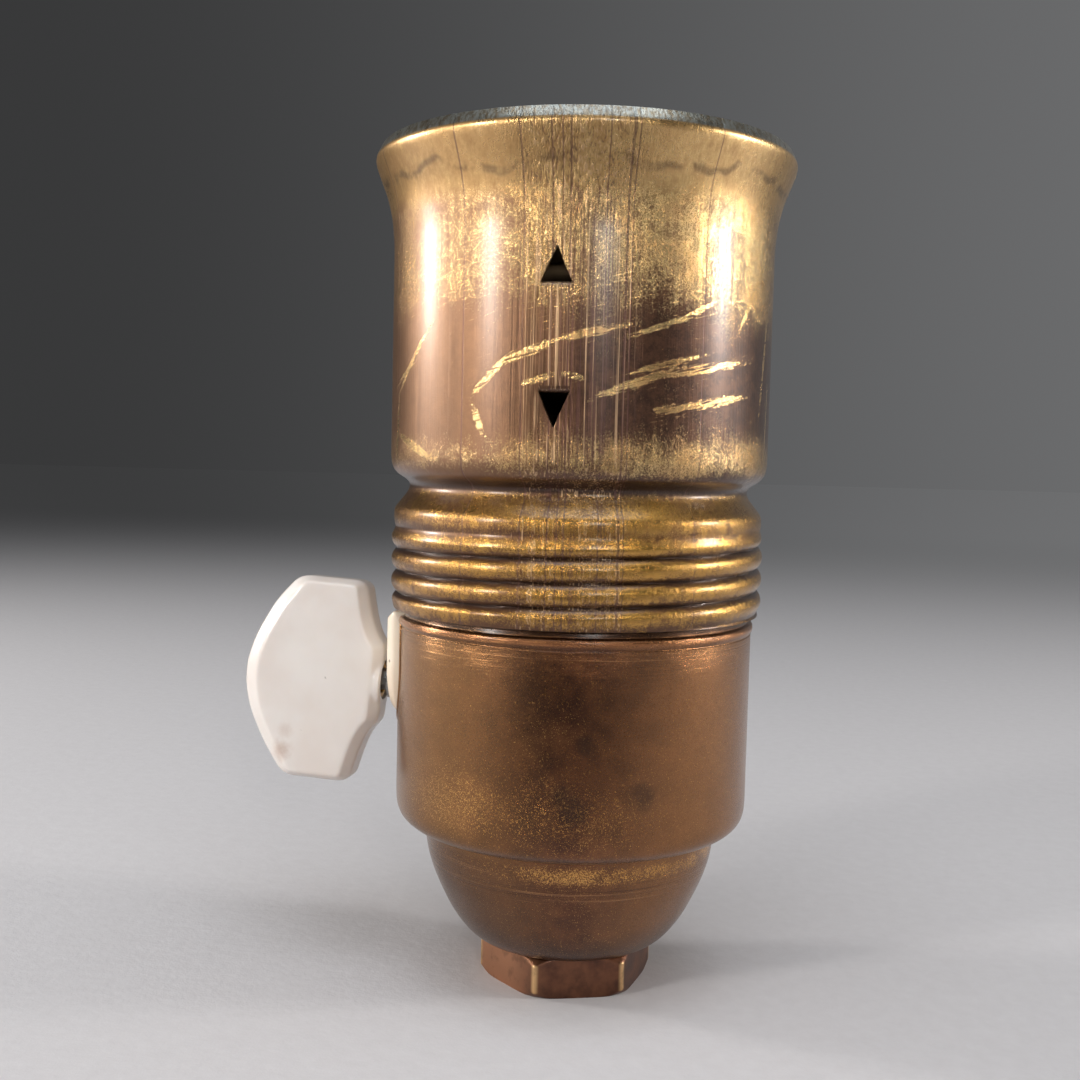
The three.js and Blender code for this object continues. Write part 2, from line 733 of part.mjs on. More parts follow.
/** Drawn with +X outwards along the spindle and +Y upwards, then stood up on the spindle's line. */
function key() {
  const stand = new THREE.Matrix4().makeBasis(
    new THREE.Vector3(-1, 0, 0),
    new THREE.Vector3(0, 0, 1),
    new THREE.Vector3(0, 1, 0),
  );
  const wing = slab(keyOutline(), KEY_THICK, KEY_BEVEL)
    .translate(0, 0, -KEY_THICK / 2)
    .rotateZ(radians(KEY_LEAN))
    .applyMatrix4(stand)
    .rotateX(radians(KEY_TURN))
    .translate(-KEY_CENTRE, 0, SPINDLE_Z);
  return shaped(
    wing,
    [crossRod(KEY_BOSS_RADIUS, [KEY_INNER_FACE - 2.5, KEY_INNER_FACE], 20)],
    [
      crossRod(FERRULE_RADIUS + 0.25, [KEY_INNER_FACE - 4.2, KEY_INNER_FACE + 1], 16),
      crossRod(TAIL_BORE_RADIUS, [TAIL_END - 0.4, KEY_INNER_FACE], 16),
    ],
  );
}

function keyFerrule() {
  const span = [KEY_INNER_FACE - 3.9, KEY_INNER_FACE - GAP];
  return shaped(crossRod(FERRULE_RADIUS, span, 16), [], [
    crossRod(TAIL_BORE_RADIUS, [span[0] - 1, span[1] + 1], 16),
  ]);
}

// ---------------------------------------------------------------- materials
const FINISHES = {
  shellBrass: { color: 0x9a7434, metalness: 0.9, roughness: 0.38 },
  capBrass: { color: 0x7d5430, metalness: 0.9, roughness: 0.42 },
  hexBrass: { color: 0x9c6638, metalness: 0.9, roughness: 0.4 },
  contactBrass: { color: 0xc2a25a, metalness: 0.95, roughness: 0.3 },
  steel: { color: 0x9aa0a4, metalness: 0.95, roughness: 0.35 },
  bisque: { color: 0xe4dfd6, metalness: 0, roughness: 0.6 },
  glazed: { color: 0xf1eee6, metalness: 0, roughness: 0.22 },
};

const lampholder = new THREE.Group();

function place(name, finish, geometry) {
  const mesh = new THREE.Mesh(geometry, new THREE.MeshStandardMaterial(FINISHES[finish]));
  mesh.name = name;
  lampholder.add(mesh);
}

place("hex_base", "hexBrass", hexBase());
place("nipple_locknut", "steel", nippleLocknut());
place("base_cap", "capBrass", baseCap());
place("shell", "shellBrass", shell());
place("mouth_ring", "glazed", mouthRing());

place("switch_block", "bisque", switchBlock());
place("lamp_plate", "glazed", lampPlate());
ASSEMBLY_SCREW_ANGLES.forEach((angle, i) => place(`assembly_screw_${i + 1}`, "steel", assemblyScrew(angle)));

place("screw_shell", "contactBrass", screwShell());
SHELL_SCREW_ANGLES.forEach((angle, i) => place(`shell_screw_${i + 1}`, "contactBrass", shellScrew(angle)));
place("centre_contact", "contactBrass", centreContact());
place("centre_contact_screw", "contactBrass", centreContactScrew());

for (const [side, turn] of Object.entries(TERMINAL_TURN)) {
  place(`terminal_${side}`, "contactBrass", terminal(turn));
  place(`terminal_screw_${side}`, "contactBrass", terminalScrew(turn));
}
place("line_leaf", "contactBrass", lineLeaf());
place("lamp_leaf", "contactBrass", lampLeaf());
place("side_strap", "contactBrass", sideStrap());

place("key_collar", "glazed", keyCollar());
place("spindle", "steel", spindle());
place("rotor_disc_inner", "bisque", rotorDisc([-6.2, -BRIDGE_THICK / 2 - GAP]));
place("rotor_disc_outer", "bisque", rotorDisc([BRIDGE_THICK / 2 + GAP, 5.9]));
place("contact_bridge", "contactBrass", contactBridge());
place("detent_cam", "steel", detentCam());
place("detent_spring", "steel", detentSpring());
place("spindle_washer", "contactBrass", spindleWasher());
place("spindle_nut", "contactBrass", spindleNut());

place("key", "glazed", key());
place("key_ferrule", "contactBrass", keyFerrule());

export default lampholder;
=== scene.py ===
"""An antique brass E27 lampholder with a porcelain quarter-turn key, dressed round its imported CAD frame.

The frame is in metres; the dimensions below are millimetres, in the CAD's own frame: Z = 0 is the
seat of the hexagon, +Z is the lampholder's axis, and the key's spindle lies along -X.
"""

import functools
import json
import math
import random

import bmesh
import bpy
from mathutils import Matrix, Vector


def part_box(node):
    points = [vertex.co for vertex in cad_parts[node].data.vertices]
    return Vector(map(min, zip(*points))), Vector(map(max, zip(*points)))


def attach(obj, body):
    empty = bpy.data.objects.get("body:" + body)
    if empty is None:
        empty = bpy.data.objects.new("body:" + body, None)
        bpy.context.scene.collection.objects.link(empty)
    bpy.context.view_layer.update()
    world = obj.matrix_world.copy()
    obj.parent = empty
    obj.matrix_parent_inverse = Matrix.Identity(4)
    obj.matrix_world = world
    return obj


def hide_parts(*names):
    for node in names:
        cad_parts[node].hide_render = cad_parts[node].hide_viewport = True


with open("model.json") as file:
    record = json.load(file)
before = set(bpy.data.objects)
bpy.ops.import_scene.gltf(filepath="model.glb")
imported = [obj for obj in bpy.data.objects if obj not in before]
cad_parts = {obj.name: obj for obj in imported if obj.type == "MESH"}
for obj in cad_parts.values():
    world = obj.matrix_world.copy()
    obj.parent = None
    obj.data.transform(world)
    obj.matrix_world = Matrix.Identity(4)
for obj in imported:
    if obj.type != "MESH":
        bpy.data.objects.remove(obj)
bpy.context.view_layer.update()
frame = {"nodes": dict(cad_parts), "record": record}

# ---------------------------------------------------------------- dimensions shared with the CAD, mm
MM = 0.001
SEGMENTS = 288
SHEET = 0.6
GAP = 0.3

HEX_FLATS = 16.4
HEX_TURN = -75
HEX_HEIGHT = 4.1
HEX_CHAMFER = 0.7
ENTRY_RADIUS = 4.6
ENTRY_PITCH = 1
SPIGOT_RADIUS = 6.4
SPIGOT_TOP = 8.6

CAP_SHEET = 0.7
CAP_FLOOR = 4.4
CAP_RADIUS = 18.9
CAP_STEP = 19.9
CAP_RIM = 39.3
NECK_TOP = 49.6
NECK_BORE = 17.45
DOME = [
    (SPIGOT_RADIUS + GAP, CAP_FLOOR), (9.7, CAP_FLOOR), (11.2, 5.45), (12.8, 7.6),
    (13.9, 9.8), (14.9, 12.1), (15.5, 14.3), (15.75, 16.9),
]

JOIN = {"pitch": 2.309, "height": 0.3, "crest_z": 43.3, "crest_angle": -math.pi / 2, "power": 2.3}
NECK_THREAD_RADIUS = 18.5
SHELL_THREAD_RADIUS = 19.5
SHELL_EDGE = 39.9
BEAD_Z = 49.6
BEAD_RADIUS = 19.6
WAIST_Z = 52.5
WAIST_RADIUS = 17.95
BARREL_FOOT = 55
BARREL_RADIUS = 20
BARREL_TOP = 79
MOUTH_RADIUS = 22
MOUTH_TOP = 87.7

TAB_STATIONS = (-92, 28, 148)
TAB_WIDTH = 2.9
TAB_LENGTH = 3.2
LOWER_TAB_FACE = 62.2
UPPER_TAB_FACE = 72.35

RING_OUTER = 18.95
RING_INNER = 14.4
RING_FOOT = 63.1
RING_TOP = 71.45

THREAD_STEP = 0.13
E27 = {"pitch": 3.629, "height": 0.62, "crest_z": 56, "crest_angle": 0, "power": 1.9}
E27_MEAN_RADIUS = 12.85
E27_SHEET = 0.5
E27_FLANGE_INNER = 8.6
E27_FOOT = 52.7
E27_TOP = 77.5
SHELL_SCREW_RADIUS = 10

SPINDLE_Z = 31.2
COLLAR_HALF = 6.35
COLLAR_CENTRE_Z = 33.75
COLLAR_TOP = 39.6
COLLAR_FACE = 19.4
COLLAR_BACK = 13.5

KEY_CENTRE = 27.3
KEY_OUTER_SIDE = [
    (3.75, -11.1), (6.3, -7.6), (8.1, -4.3), (8.9, -1.5), (8.95, 1.3), (8.1, 4.3), (6.3, 8), (3.85, 11.1)
]
KEY_INNER_SIDE = [(-3.8, 11.1), (-4.3, 8.9), (-4.9, 6.6), (-5.7, 4.9), (-6.5, 4.2)]
KEY_INNER_BULGE = 6.5
KEY_THICK = 5.8
KEY_EDGE = 1.25  # how deep the wing's chamfers go
KEY_CROWN = 0.12  # how far its faces swell in the middle
KEY_BOSS_RADIUS = 2.85
KEY_LEAN = 3.6
KEY_TURN = -4.5
FERRULE_RADIUS = 2
TAIL_RADIUS = 1.2
TAIL_END = -33.4

# ---------------------------------------------------------------- camera and light
STEM_YAW = 5  # degrees between the key's spindle and the picture plane
EYE_DISTANCE = 138
EYE_HEIGHT = 56.8
EYE_PITCH = 3.98
EYE_ROLL = 1.39
EYE_YAW = -1.63
LENS = 42.67
SENSOR = 36

# Brightness of the room: how it rises (from, to, low, high) towards +Y and towards +X
BACKDROP_AHEAD = (-0.3, 0.7, 0.012, 0.075)
BACKDROP_ACROSS = (-0.5, 0.5, 0.55, 2.2)
BACKDROP_TINT = (0.97, 0.98, 1, 1)

# Soft lights: name, degrees round from +X, elevation, distance, size, power, colour
WARM = (1, 0.98, 0.95)
COOL = (0.9, 0.95, 1)
LIGHTS = [
    ("left_back", 175, 10.5, 480, (72, 76), 0.95, WARM),
    ("left_front", -139, 10.5, 480, (56, 78), 0.95, WARM),
    ("right", 2, 10.5, 480, (72, 76), 0.95, WARM),
    ("front", -73, 13, 480, (60, 64), 0.4, WARM),
    ("left_fill", -175, 8, 600, (420, 330), 0.45, WARM),
    ("right_fill", 6, 8, 600, (420, 330), 0.5, WARM),
    ("overhead", -80, 72, 650, (600, 500), 3.0, COOL),
]
LIGHT_AIM = 70  # height of the point on the axis that they aim at
FLOOR_HALF = 2500
BLACK = (0.02, 0.02, 0.02, 1)


# ---------------------------------------------------------------- mesh helpers
def placed(name, data):
    """A new object in the scene."""
    item = bpy.data.objects.new(name, data)
    bpy.context.scene.collection.objects.link(item)
    return item


def mesh_object(name, points, faces, sharp=32):
    """A smooth-shaded object from points in millimetres."""
    mesh = bpy.data.meshes.new(name)
    mesh.from_pydata([(x * MM, y * MM, z * MM) for x, y, z in points], [], faces)
    piece = placed(name, mesh)
    smooth(piece, sharp)
    return piece


def smooth(piece, sharp=32):
    """Shades a piece smooth, apart from edges sharper than the given angle."""
    piece.data.shade_smooth()
    piece.data.set_sharp_from_angle(angle=math.radians(sharp))


def bake(piece, sharp=32):
    """Turns the piece's modifiers into its mesh."""
    bpy.context.view_layer.update()
    graph = bpy.context.evaluated_depsgraph_get()
    mesh = bpy.data.meshes.new_from_object(piece.evaluated_get(graph))
    piece.modifiers.clear()
    piece.data = mesh
    smooth(piece, sharp)


def boolean(piece, other, sharp=32):
    """Cuts the other piece out of the first one."""
    step = piece.modifiers.new("boolean", "BOOLEAN")
    step.object = other
    step.operation = "DIFFERENCE"
    step.solver = "EXACT"
    bake(piece, sharp)
    bpy.data.objects.remove(other)


def join(piece, *others, sharp=32):
    """Adds the other pieces' meshes to the first one's."""
    build = bmesh.new()
    for part in (piece, *others):
        part.data.transform(part.matrix_world)
        build.from_mesh(part.data)
    build.to_mesh(piece.data)
    build.free()
    piece.matrix_world = Matrix.Identity(4)
    for part in others:
        bpy.data.objects.remove(part)
    smooth(piece, sharp)


def hull(name, points):
    """The convex solid round some points."""
    build = bmesh.new()
    for x, y, z in points:
        build.verts.new((x * MM, y * MM, z * MM))
    bmesh.ops.convex_hull(build, input=build.verts)
    mesh = bpy.data.meshes.new(name)
    build.to_mesh(mesh)
    build.free()
    piece = placed(name, mesh)
    smooth(piece)
    return piece


def rounded(points, reach, steps=6):
    """An open profile with each inner corner turned into a curve that starts reach away from it."""
    out = [points[0]]
    for before, corner, after in zip(points, points[1:], points[2:]):
        ends = list(zip(toward(corner, before, reach), corner, toward(corner, after, reach)))
        for i in range(steps + 1):
            t = i / steps
            out.append(tuple((1 - t) ** 2 * a + 2 * t * (1 - t) * b + t * t * c for a, b, c in ends))
    return out + [points[-1]]


def toward(a, b, reach):
    """The point that lies reach from a on the way to b, but no farther than halfway."""
    length = math.dist(a, b)
    share = min(0.5, reach / length)
    return tuple(p + (q - p) * share for p, q in zip(a, b))


def refine(points, step):
    """The same profile with no stretch longer than step."""
    out = [points[0]]
    for a, b in zip(points, points[1:]):
        count = max(1, math.ceil(math.dist(a, b) / step))
        out += [tuple(p + (q - p) * i / count for p, q in zip(a, b)) for i in range(1, count + 1)]
    return out


def rolled(thread, z, angle):
    """How far a rolled thread stands out: wide round crests and narrow grooves."""
    turns = (z - thread["crest_z"]) / thread["pitch"] - (angle - thread["crest_angle"]) / (2 * math.pi)
    away = abs(2 * (turns - round(turns)))
    return thread["height"] * (1 - 2 * away ** thread["power"])


def threaded(thread, radius, foot, top):
    """Rows (radius, z, share) of a thread that fades in and out over its last half turn."""
    rows = []
    count = round((top - foot) / THREAD_STEP)
    for i in range(count + 1):
        z = foot + (top - foot) * i / count
        fade = min(1, (z - foot) / thread["pitch"] * 1.6 + 0.15, (top - z) / thread["pitch"] * 1.6 + 0.15)
        rows.append((radius, z, fade))
    return rows


def on_thread(thread):
    """A radius_at for revolve: rows with a share ride the rolled thread."""
    def radius_at(row, angle):
        return row[0] + (row[2] * rolled(thread, row[1], angle) if len(row) > 2 else 0)

    return radius_at


def walls(rings, count, closed=False):
    """Quads between neighbouring rings of count points each, and from the last to the first if closed."""
    faces = []
    for i in range(rings if closed else rings - 1):
        n = (i + 1) % rings
        for j in range(count):
            k = (j + 1) % count
            faces.append((i * count + j, i * count + k, n * count + k, n * count + j))
    return faces


def revolve(name, loop, radius_at, segments=SEGMENTS, sharp=32):
    """A ring round Z from a closed loop of rows, the outer face first and upwards."""
    points = []
    for row in loop:
        for j in range(segments):
            angle = 2 * math.pi * j / segments
            r = radius_at(row, angle) if radius_at else row[0]
            points.append((r * math.cos(angle), r * math.sin(angle), row[1]))
    return mesh_object(name, points, walls(len(loop), segments, closed=True), sharp)


def melt(piece, voxel, rounds):
    """Runs the edges of a piece together, as a glaze does."""
    remesh = piece.modifiers.new("melt", "REMESH")
    remesh.mode = "VOXEL"
    remesh.voxel_size = voxel * MM
    soften = piece.modifiers.new("soften", "SMOOTH")
    soften.factor = 0.5
    soften.iterations = rounds
    bake(piece, 60)


def turned(name, profile, segments):
    """A solid turned about Z; its profile starts and ends on the axis."""
    points = [(0, 0, profile[0][1]), (0, 0, profile[-1][1])]
    rows = profile[1:-1]
    for radius, z in rows:
        for j in range(segments):
            angle = 2 * math.pi * j / segments
            points.append((radius * math.cos(angle), radius * math.sin(angle), z))
    faces = []
    last = 2 + (len(rows) - 1) * segments
    for j in range(segments):
        k = (j + 1) % segments
        faces.append((0, 2 + k, 2 + j))
        faces.append((1, last + j, last + k))
        for i in range(len(rows) - 1):
            a = 2 + i * segments
            faces.append((a + j, a + k, a + segments + k, a + segments + j))
    return mesh_object(name, points, faces)


def prism(name, outline, lift):
    """A prism between two copies of an outline, each point placed by lift(point, side)."""
    count = len(outline)
    points = [lift(p, 0) for p in outline] + [lift(p, 1) for p in outline]
    faces = [tuple(reversed(range(count))), tuple(range(count, 2 * count))]
    faces += [(i, (i + 1) % count, (i + 1) % count + count, i + count) for i in range(count)]
    piece = mesh_object(name, points, faces)
    build = bmesh.new()
    build.from_mesh(piece.data)
    bmesh.ops.recalc_face_normals(build, faces=build.faces)
    build.to_mesh(piece.data)
    build.free()
    return piece


def cross_bar(name, radius, x0, x1):
    """A round bar on the spindle's line, along X."""
    bar = turned(name, [(0, x0), (radius, x0), (radius, x1), (0, x1)], 48)
    bar.data.transform(Matrix.Translation((0, 0, SPINDLE_Z * MM)) @ Matrix.Rotation(math.pi / 2, 4, "Y"))
    return bar


def polar(radius, degrees):
    """A point (x, y) round the axis."""
    return radius * math.cos(math.radians(degrees)), radius * math.sin(math.radians(degrees))


# ---------------------------------------------------------------- material helpers
class Graph:
    """The nodes of one material, with short names for the ones used here. Lengths are millimetres."""

    def __init__(self, name):
        self.material = bpy.data.materials.new(name)
        self.material.use_nodes = True
        self.tree = self.material.node_tree
        self.tree.nodes.clear()
        self.shader = self.node("BsdfPrincipled")
        self.tree.links.new(self.shader.outputs[0], self.node("OutputMaterial").inputs[0])
        place = self.node("TexCoord").outputs["Object"]
        self.point = self.vector("MULTIPLY", place, (1000, 1000, 1000))
        self.x, self.y, self.z = self.node("SeparateXYZ", self.point).outputs

    def feed(self, socket, value):
        if isinstance(value, bpy.types.NodeSocket):
            self.tree.links.new(value, socket)
        else:
            socket.default_value = value

    def node(self, kind, *values):
        """A new node with its first inputs filled in order."""
        node = self.tree.nodes.new("ShaderNode" + kind)
        for socket, value in zip(node.inputs, values):
            self.feed(socket, value)
        return node

    def math(self, operation, *values, clamp=False):
        node = self.node("Math", *values)
        node.operation = operation
        node.use_clamp = clamp
        return node.outputs[0]

    def vector(self, operation, *values, out="Vector"):
        node = self.node("VectorMath", *values)
        node.operation = operation
        return node.outputs[out]

    def add(self, *values):
        return functools.reduce(lambda a, b: self.math("ADD", a, b), values)

    def times(self, *values):
        return functools.reduce(lambda a, b: self.math("MULTIPLY", a, b), values)

    def highest(self, values):
        return functools.reduce(lambda a, b: self.math("MAXIMUM", a, b), values)

    def minus(self, a, b):
        return self.math("SUBTRACT", a, b)

    def off(self, value):
        """How far a value is from one half."""
        return self.minus(value, 0.5)

    def from_axis(self):
        """Distance from the Z axis."""
        return self.math("SQRT", self.add(self.times(self.x, self.x), self.times(self.y, self.y)))

    def stretched(self, factors):
        return self.vector("MULTIPLY", self.point, factors)

    def joined(self, x, y, z):
        return self.node("CombineXYZ", x, y, z).outputs[0]

    def noise(self, scale, detail=3, vector=None, rough=0.55):
        """Noise from 0 to 1 whose features are about 1 / scale millimetres."""
        node = self.node("TexNoise", self.point if vector is None else vector)
        for name, value in (("Scale", scale), ("Detail", detail), ("Roughness", rough)):
            node.inputs[name].default_value = value
        return node.outputs["Fac"]

    def cells(self, scale):
        """Distance to the nearest of some scattered points, in cell widths."""
        node = self.node("TexVoronoi", self.point)
        node.inputs["Scale"].default_value = scale
        return node.outputs["Distance"]

    def between(self, value, low, high, start=0, end=1):
        """value eased from start at low to end at high; low may be the larger."""
        if low > high:
            low, high, start, end = high, low, end, start
        node = self.node("MapRange", value, low, high, start, end)
        node.interpolation_type = "SMOOTHSTEP"
        return node.outputs[0]

    def band(self, value, low, high, soft):
        """1 where value lies between low and high, fading over soft at both ends."""
        rise = self.between(value, low - soft, low + soft)
        return self.times(rise, self.between(value, high + soft, high - soft))

    def ramp(self, value, stops):
        """A smooth curve through (position, level) stops."""
        node = self.node("FloatCurve")
        low, high = stops[0][0], stops[-1][0]
        curve = node.mapping.curves[0]
        while len(curve.points) < len(stops):
            curve.points.new(0.5, 0.5)
        for point, (position, level) in zip(curve.points, stops):
            point.location = ((position - low) / (high - low), level)
        node.mapping.update()
        share = self.math("DIVIDE", self.minus(value, low), high - low, clamp=True)
        self.feed(node.inputs["Value"], share)
        return node.outputs[0]

    def blend(self, share, a, b):
        """Number a turning into number b as share goes from 0 to 1."""
        node = self.node("Mix", share)
        for socket, value in zip(node.inputs[2:4], (a, b)):
            self.feed(socket, value)
        return node.outputs[0]

    def mix(self, share, a, b):
        """Colour a turning into colour b as share goes from 0 to 1."""
        node = self.node("Mix", share)
        node.data_type = "RGBA"
        for socket, value in zip(node.inputs[6:8], (a, b)):
            self.feed(socket, value)
        return node.outputs[2]

    def coats(self, colour, *coats):
        """A colour under some coats (where, how strong, colour), each laid over those before it."""
        for share, strength, coat in coats:
            colour = self.mix(self.times(share, strength), colour, coat)
        return colour

    def blot(self, place, centre, tilt, half_length, half_width):
        """Distance from centre in an ellipse's own half lengths: 1 on its edge."""
        turn = (0, 0, math.radians(tilt))
        node = self.node("Mapping", place, (*centre, 0), turn, (half_length, half_width, 1))
        node.vector_type = "TEXTURE"
        return self.vector("LENGTH", node.outputs[0], out="Value")

    def bump(self, height, millimetres, strength=1):
        """Relief where height 1 stands the given distance above height 0."""
        node = self.node("Bump")
        node.inputs["Strength"].default_value = strength
        node.inputs["Distance"].default_value = millimetres * MM
        self.feed(node.inputs["Height"], height)
        self.feed(self.shader.inputs["Normal"], node.outputs[0])

    def preset(self, **sockets):
        """Constants of the shader."""
        for name, value in sockets.items():
            self.shader.inputs[name.replace("_", " ")].default_value = value

    def finish(self, **sockets):
        for name, value in sockets.items():
            self.feed(self.shader.inputs[name.replace("_", " ")], value)
        return self.material


def rgb(red, green, blue):
    """A linear colour from 0 to 255 screen values."""
    def linear(level):
        level /= 255
        return level / 12.92 if level < 0.04045 else ((level + 0.055) / 1.055) ** 2.4

    return (linear(red), linear(green), linear(blue), 1)


# ---------------------------------------------------------------- brass
GOLD = rgb(214, 172, 112)
BRIGHT_GOLD = rgb(238, 202, 138)
OLIVE = rgb(176, 134, 80)
PLUM = rgb(88, 59, 41)
PINK_BROWN = rgb(158, 114, 76)
DEEP_BROWN = rgb(64, 41, 30)
UMBER = rgb(54, 36, 28)
DRAWN_DARK = rgb(98, 66, 58)
DRAWN_LIGHT = rgb(222, 182, 140)
# the sky's painted reflection on the top of the lip
SKY_REFLECTION_GREY = rgb(144, 154, 153)

# Bright rubbed strokes on the barrel: degrees round from the front, height, tilt, half length, half width
STROKES = [
    (-19.9, 63.8, 44, 2.6, 0.34), (-10.2, 65.8, 21, 3.0, 0.4), (7.2, 67.7, 13, 3.3, 0.34),
    (19.6, 63.2, 20, 3.9, 0.42), (41.2, 64.9, 9, 5.0, 0.4), (27.6, 65.0, 14, 3.7, 0.26),
    (27.1, 68.6, 19, 3.4, 0.26), (38, 70.2, 26, 1.8, 0.2), (-6.4, 63.4, 17, 1.5, 0.3),
    (3.2, 63.7, -12, 1.2, 0.3), (30.4, 61, 8, 1.8, 0.36), (45, 61.8, 9, 4, 0.4), (-51.6, 65.3, 44, 4, 0.26),
    (-56, 64.2, 25, 2.6, 0.2), (-23.6, 59.6, -66, 1.4, 0.36), (58, 70.7, 56, 2.0, 0.22),
    (-62, 59, 84, 3.4, 0.3), (-50, 57, -18, 3.2, 0.36), (71, 66, 80, 4.5, 0.24), (76, 60.5, 86, 3.5, 0.2),
]
BACK_STROKES = 9  # more of them round the back, scattered

# Long upright scratches on the shell: degrees round from the front, width in degrees
SINGLE_LINES = [
    (-29, 0.4), (-10.9, 0.35), (10.8, 0.3), (16.4, 0.5), (17.8, 0.3), (40, 0.25), (-62, 0.35), (95, 0.5),
    (171, 0.5), (-3.2, 0.35), (-0.6, 0.3), (1.4, 0.4),
]

# Dark spots on the cap: degrees round from the front, height, half width
DARK_SPOTS = [
    (3.1, 24.4, 1.1), (5.8, 23.2, 1.3), (26.4, 24.3, 1.2), (9, 29, 1.0), (140, 26, 1.6), (-130, 22, 1.3),
]


def around(g):
    """Angle from the front in radians, and a flat (arc, height) position on the barrel in millimetres."""
    turn = g.math("ARCTAN2", g.x, g.times(g.y, -1))
    return turn, g.joined(g.times(turn, BARREL_RADIUS), g.z, 0)


def facing(g, turn, degrees, low, high):
    """1 on the side that many degrees round from the front, easing to 0 away from it."""
    return g.between(g.math("COSINE", g.minus(turn, math.radians(degrees))), low, high)


def hatching(g, turn, scale):
    """Short fine marks that all slope like the strokes do."""
    slope = math.radians(14)
    arc = g.times(turn, BARREL_RADIUS)
    along = g.add(g.times(arc, math.cos(slope)), g.times(g.z, math.sin(slope)))
    across = g.add(g.times(arc, -math.sin(slope)), g.times(g.z, math.cos(slope)))
    return g.noise(scale, 3, g.joined(g.times(along, 0.22), g.times(across, 2.6), 0), rough=0.7)


def strokes(g, turn, flat):
    """Where the strokes are, from 0 to 1."""
    chance = random.Random(11)
    marks = list(STROKES)
    for i in range(BACK_STROKES):
        degrees = 100 + 160 * (i + chance.random()) / BACK_STROKES
        shape = [chance.uniform(*span) for span in ((58, 70), (5, 40), (1.5, 4), (0.2, 0.36))]
        marks.append((degrees if degrees < 180 else degrees - 360, *shape))
    ragged = g.times(g.off(g.noise(2.2, 5, rough=0.75)), 2.4)
    found = []
    for degrees, height, tilt, half_length, half_width in marks:
        centre = (math.radians(degrees) * BARREL_RADIUS, height)
        distance = g.blot(flat, centre, tilt, half_length, half_width)
        found.append(g.between(g.add(distance, ragged), 1.5, 0.7))
    broken = g.between(hatching(g, turn, 1.6), 0.4, 0.5)
    return g.times(g.highest(found), g.add(0.08, g.times(broken, 0.92)))


def draw_lines(g, turn):
    """Fine upright lines, thickest at the windows: 0 is the plain surface, up is light, down is dark."""
    fine = g.noise(5.5, 2, g.stretched((1, 1, 0.004)), rough=0.7)
    broad = g.noise(1.2, 2, g.stretched((1, 1, 0.004)), rough=0.6)
    near = g.between(g.math("COSINE", g.times(g.minus(turn, 0.07), 3)), 0.5, 1)
    return g.times(g.add(g.off(fine), g.times(g.off(broad), 0.5)), g.add(0.35, g.times(near, 1.1)))


def single_lines(g, turn):
    """A few long upright scratches, each at its own angle and of its own width in degrees."""
    found = []
    for degrees, width in SINGLE_LINES:
        gap = g.math("ABSOLUTE", g.minus(turn, math.radians(degrees)))
        found.append(g.between(gap, math.radians(width), math.radians(width * 0.3)))
    return g.highest(found)


def inside(g):
    """1 on the faces that look at the axis."""
    normal = g.node("NewGeometry").outputs["Normal"]
    return g.between(g.vector("DOT_PRODUCT", normal, g.joined(g.x, g.y, 0), out="Value"), 0, -6)


def lacquer(g, weight):
    """What is left of the old lacquer over the metal."""
    g.preset(Coat_Weight=weight, Coat_Roughness=0.24, Coat_IOR=1.5)


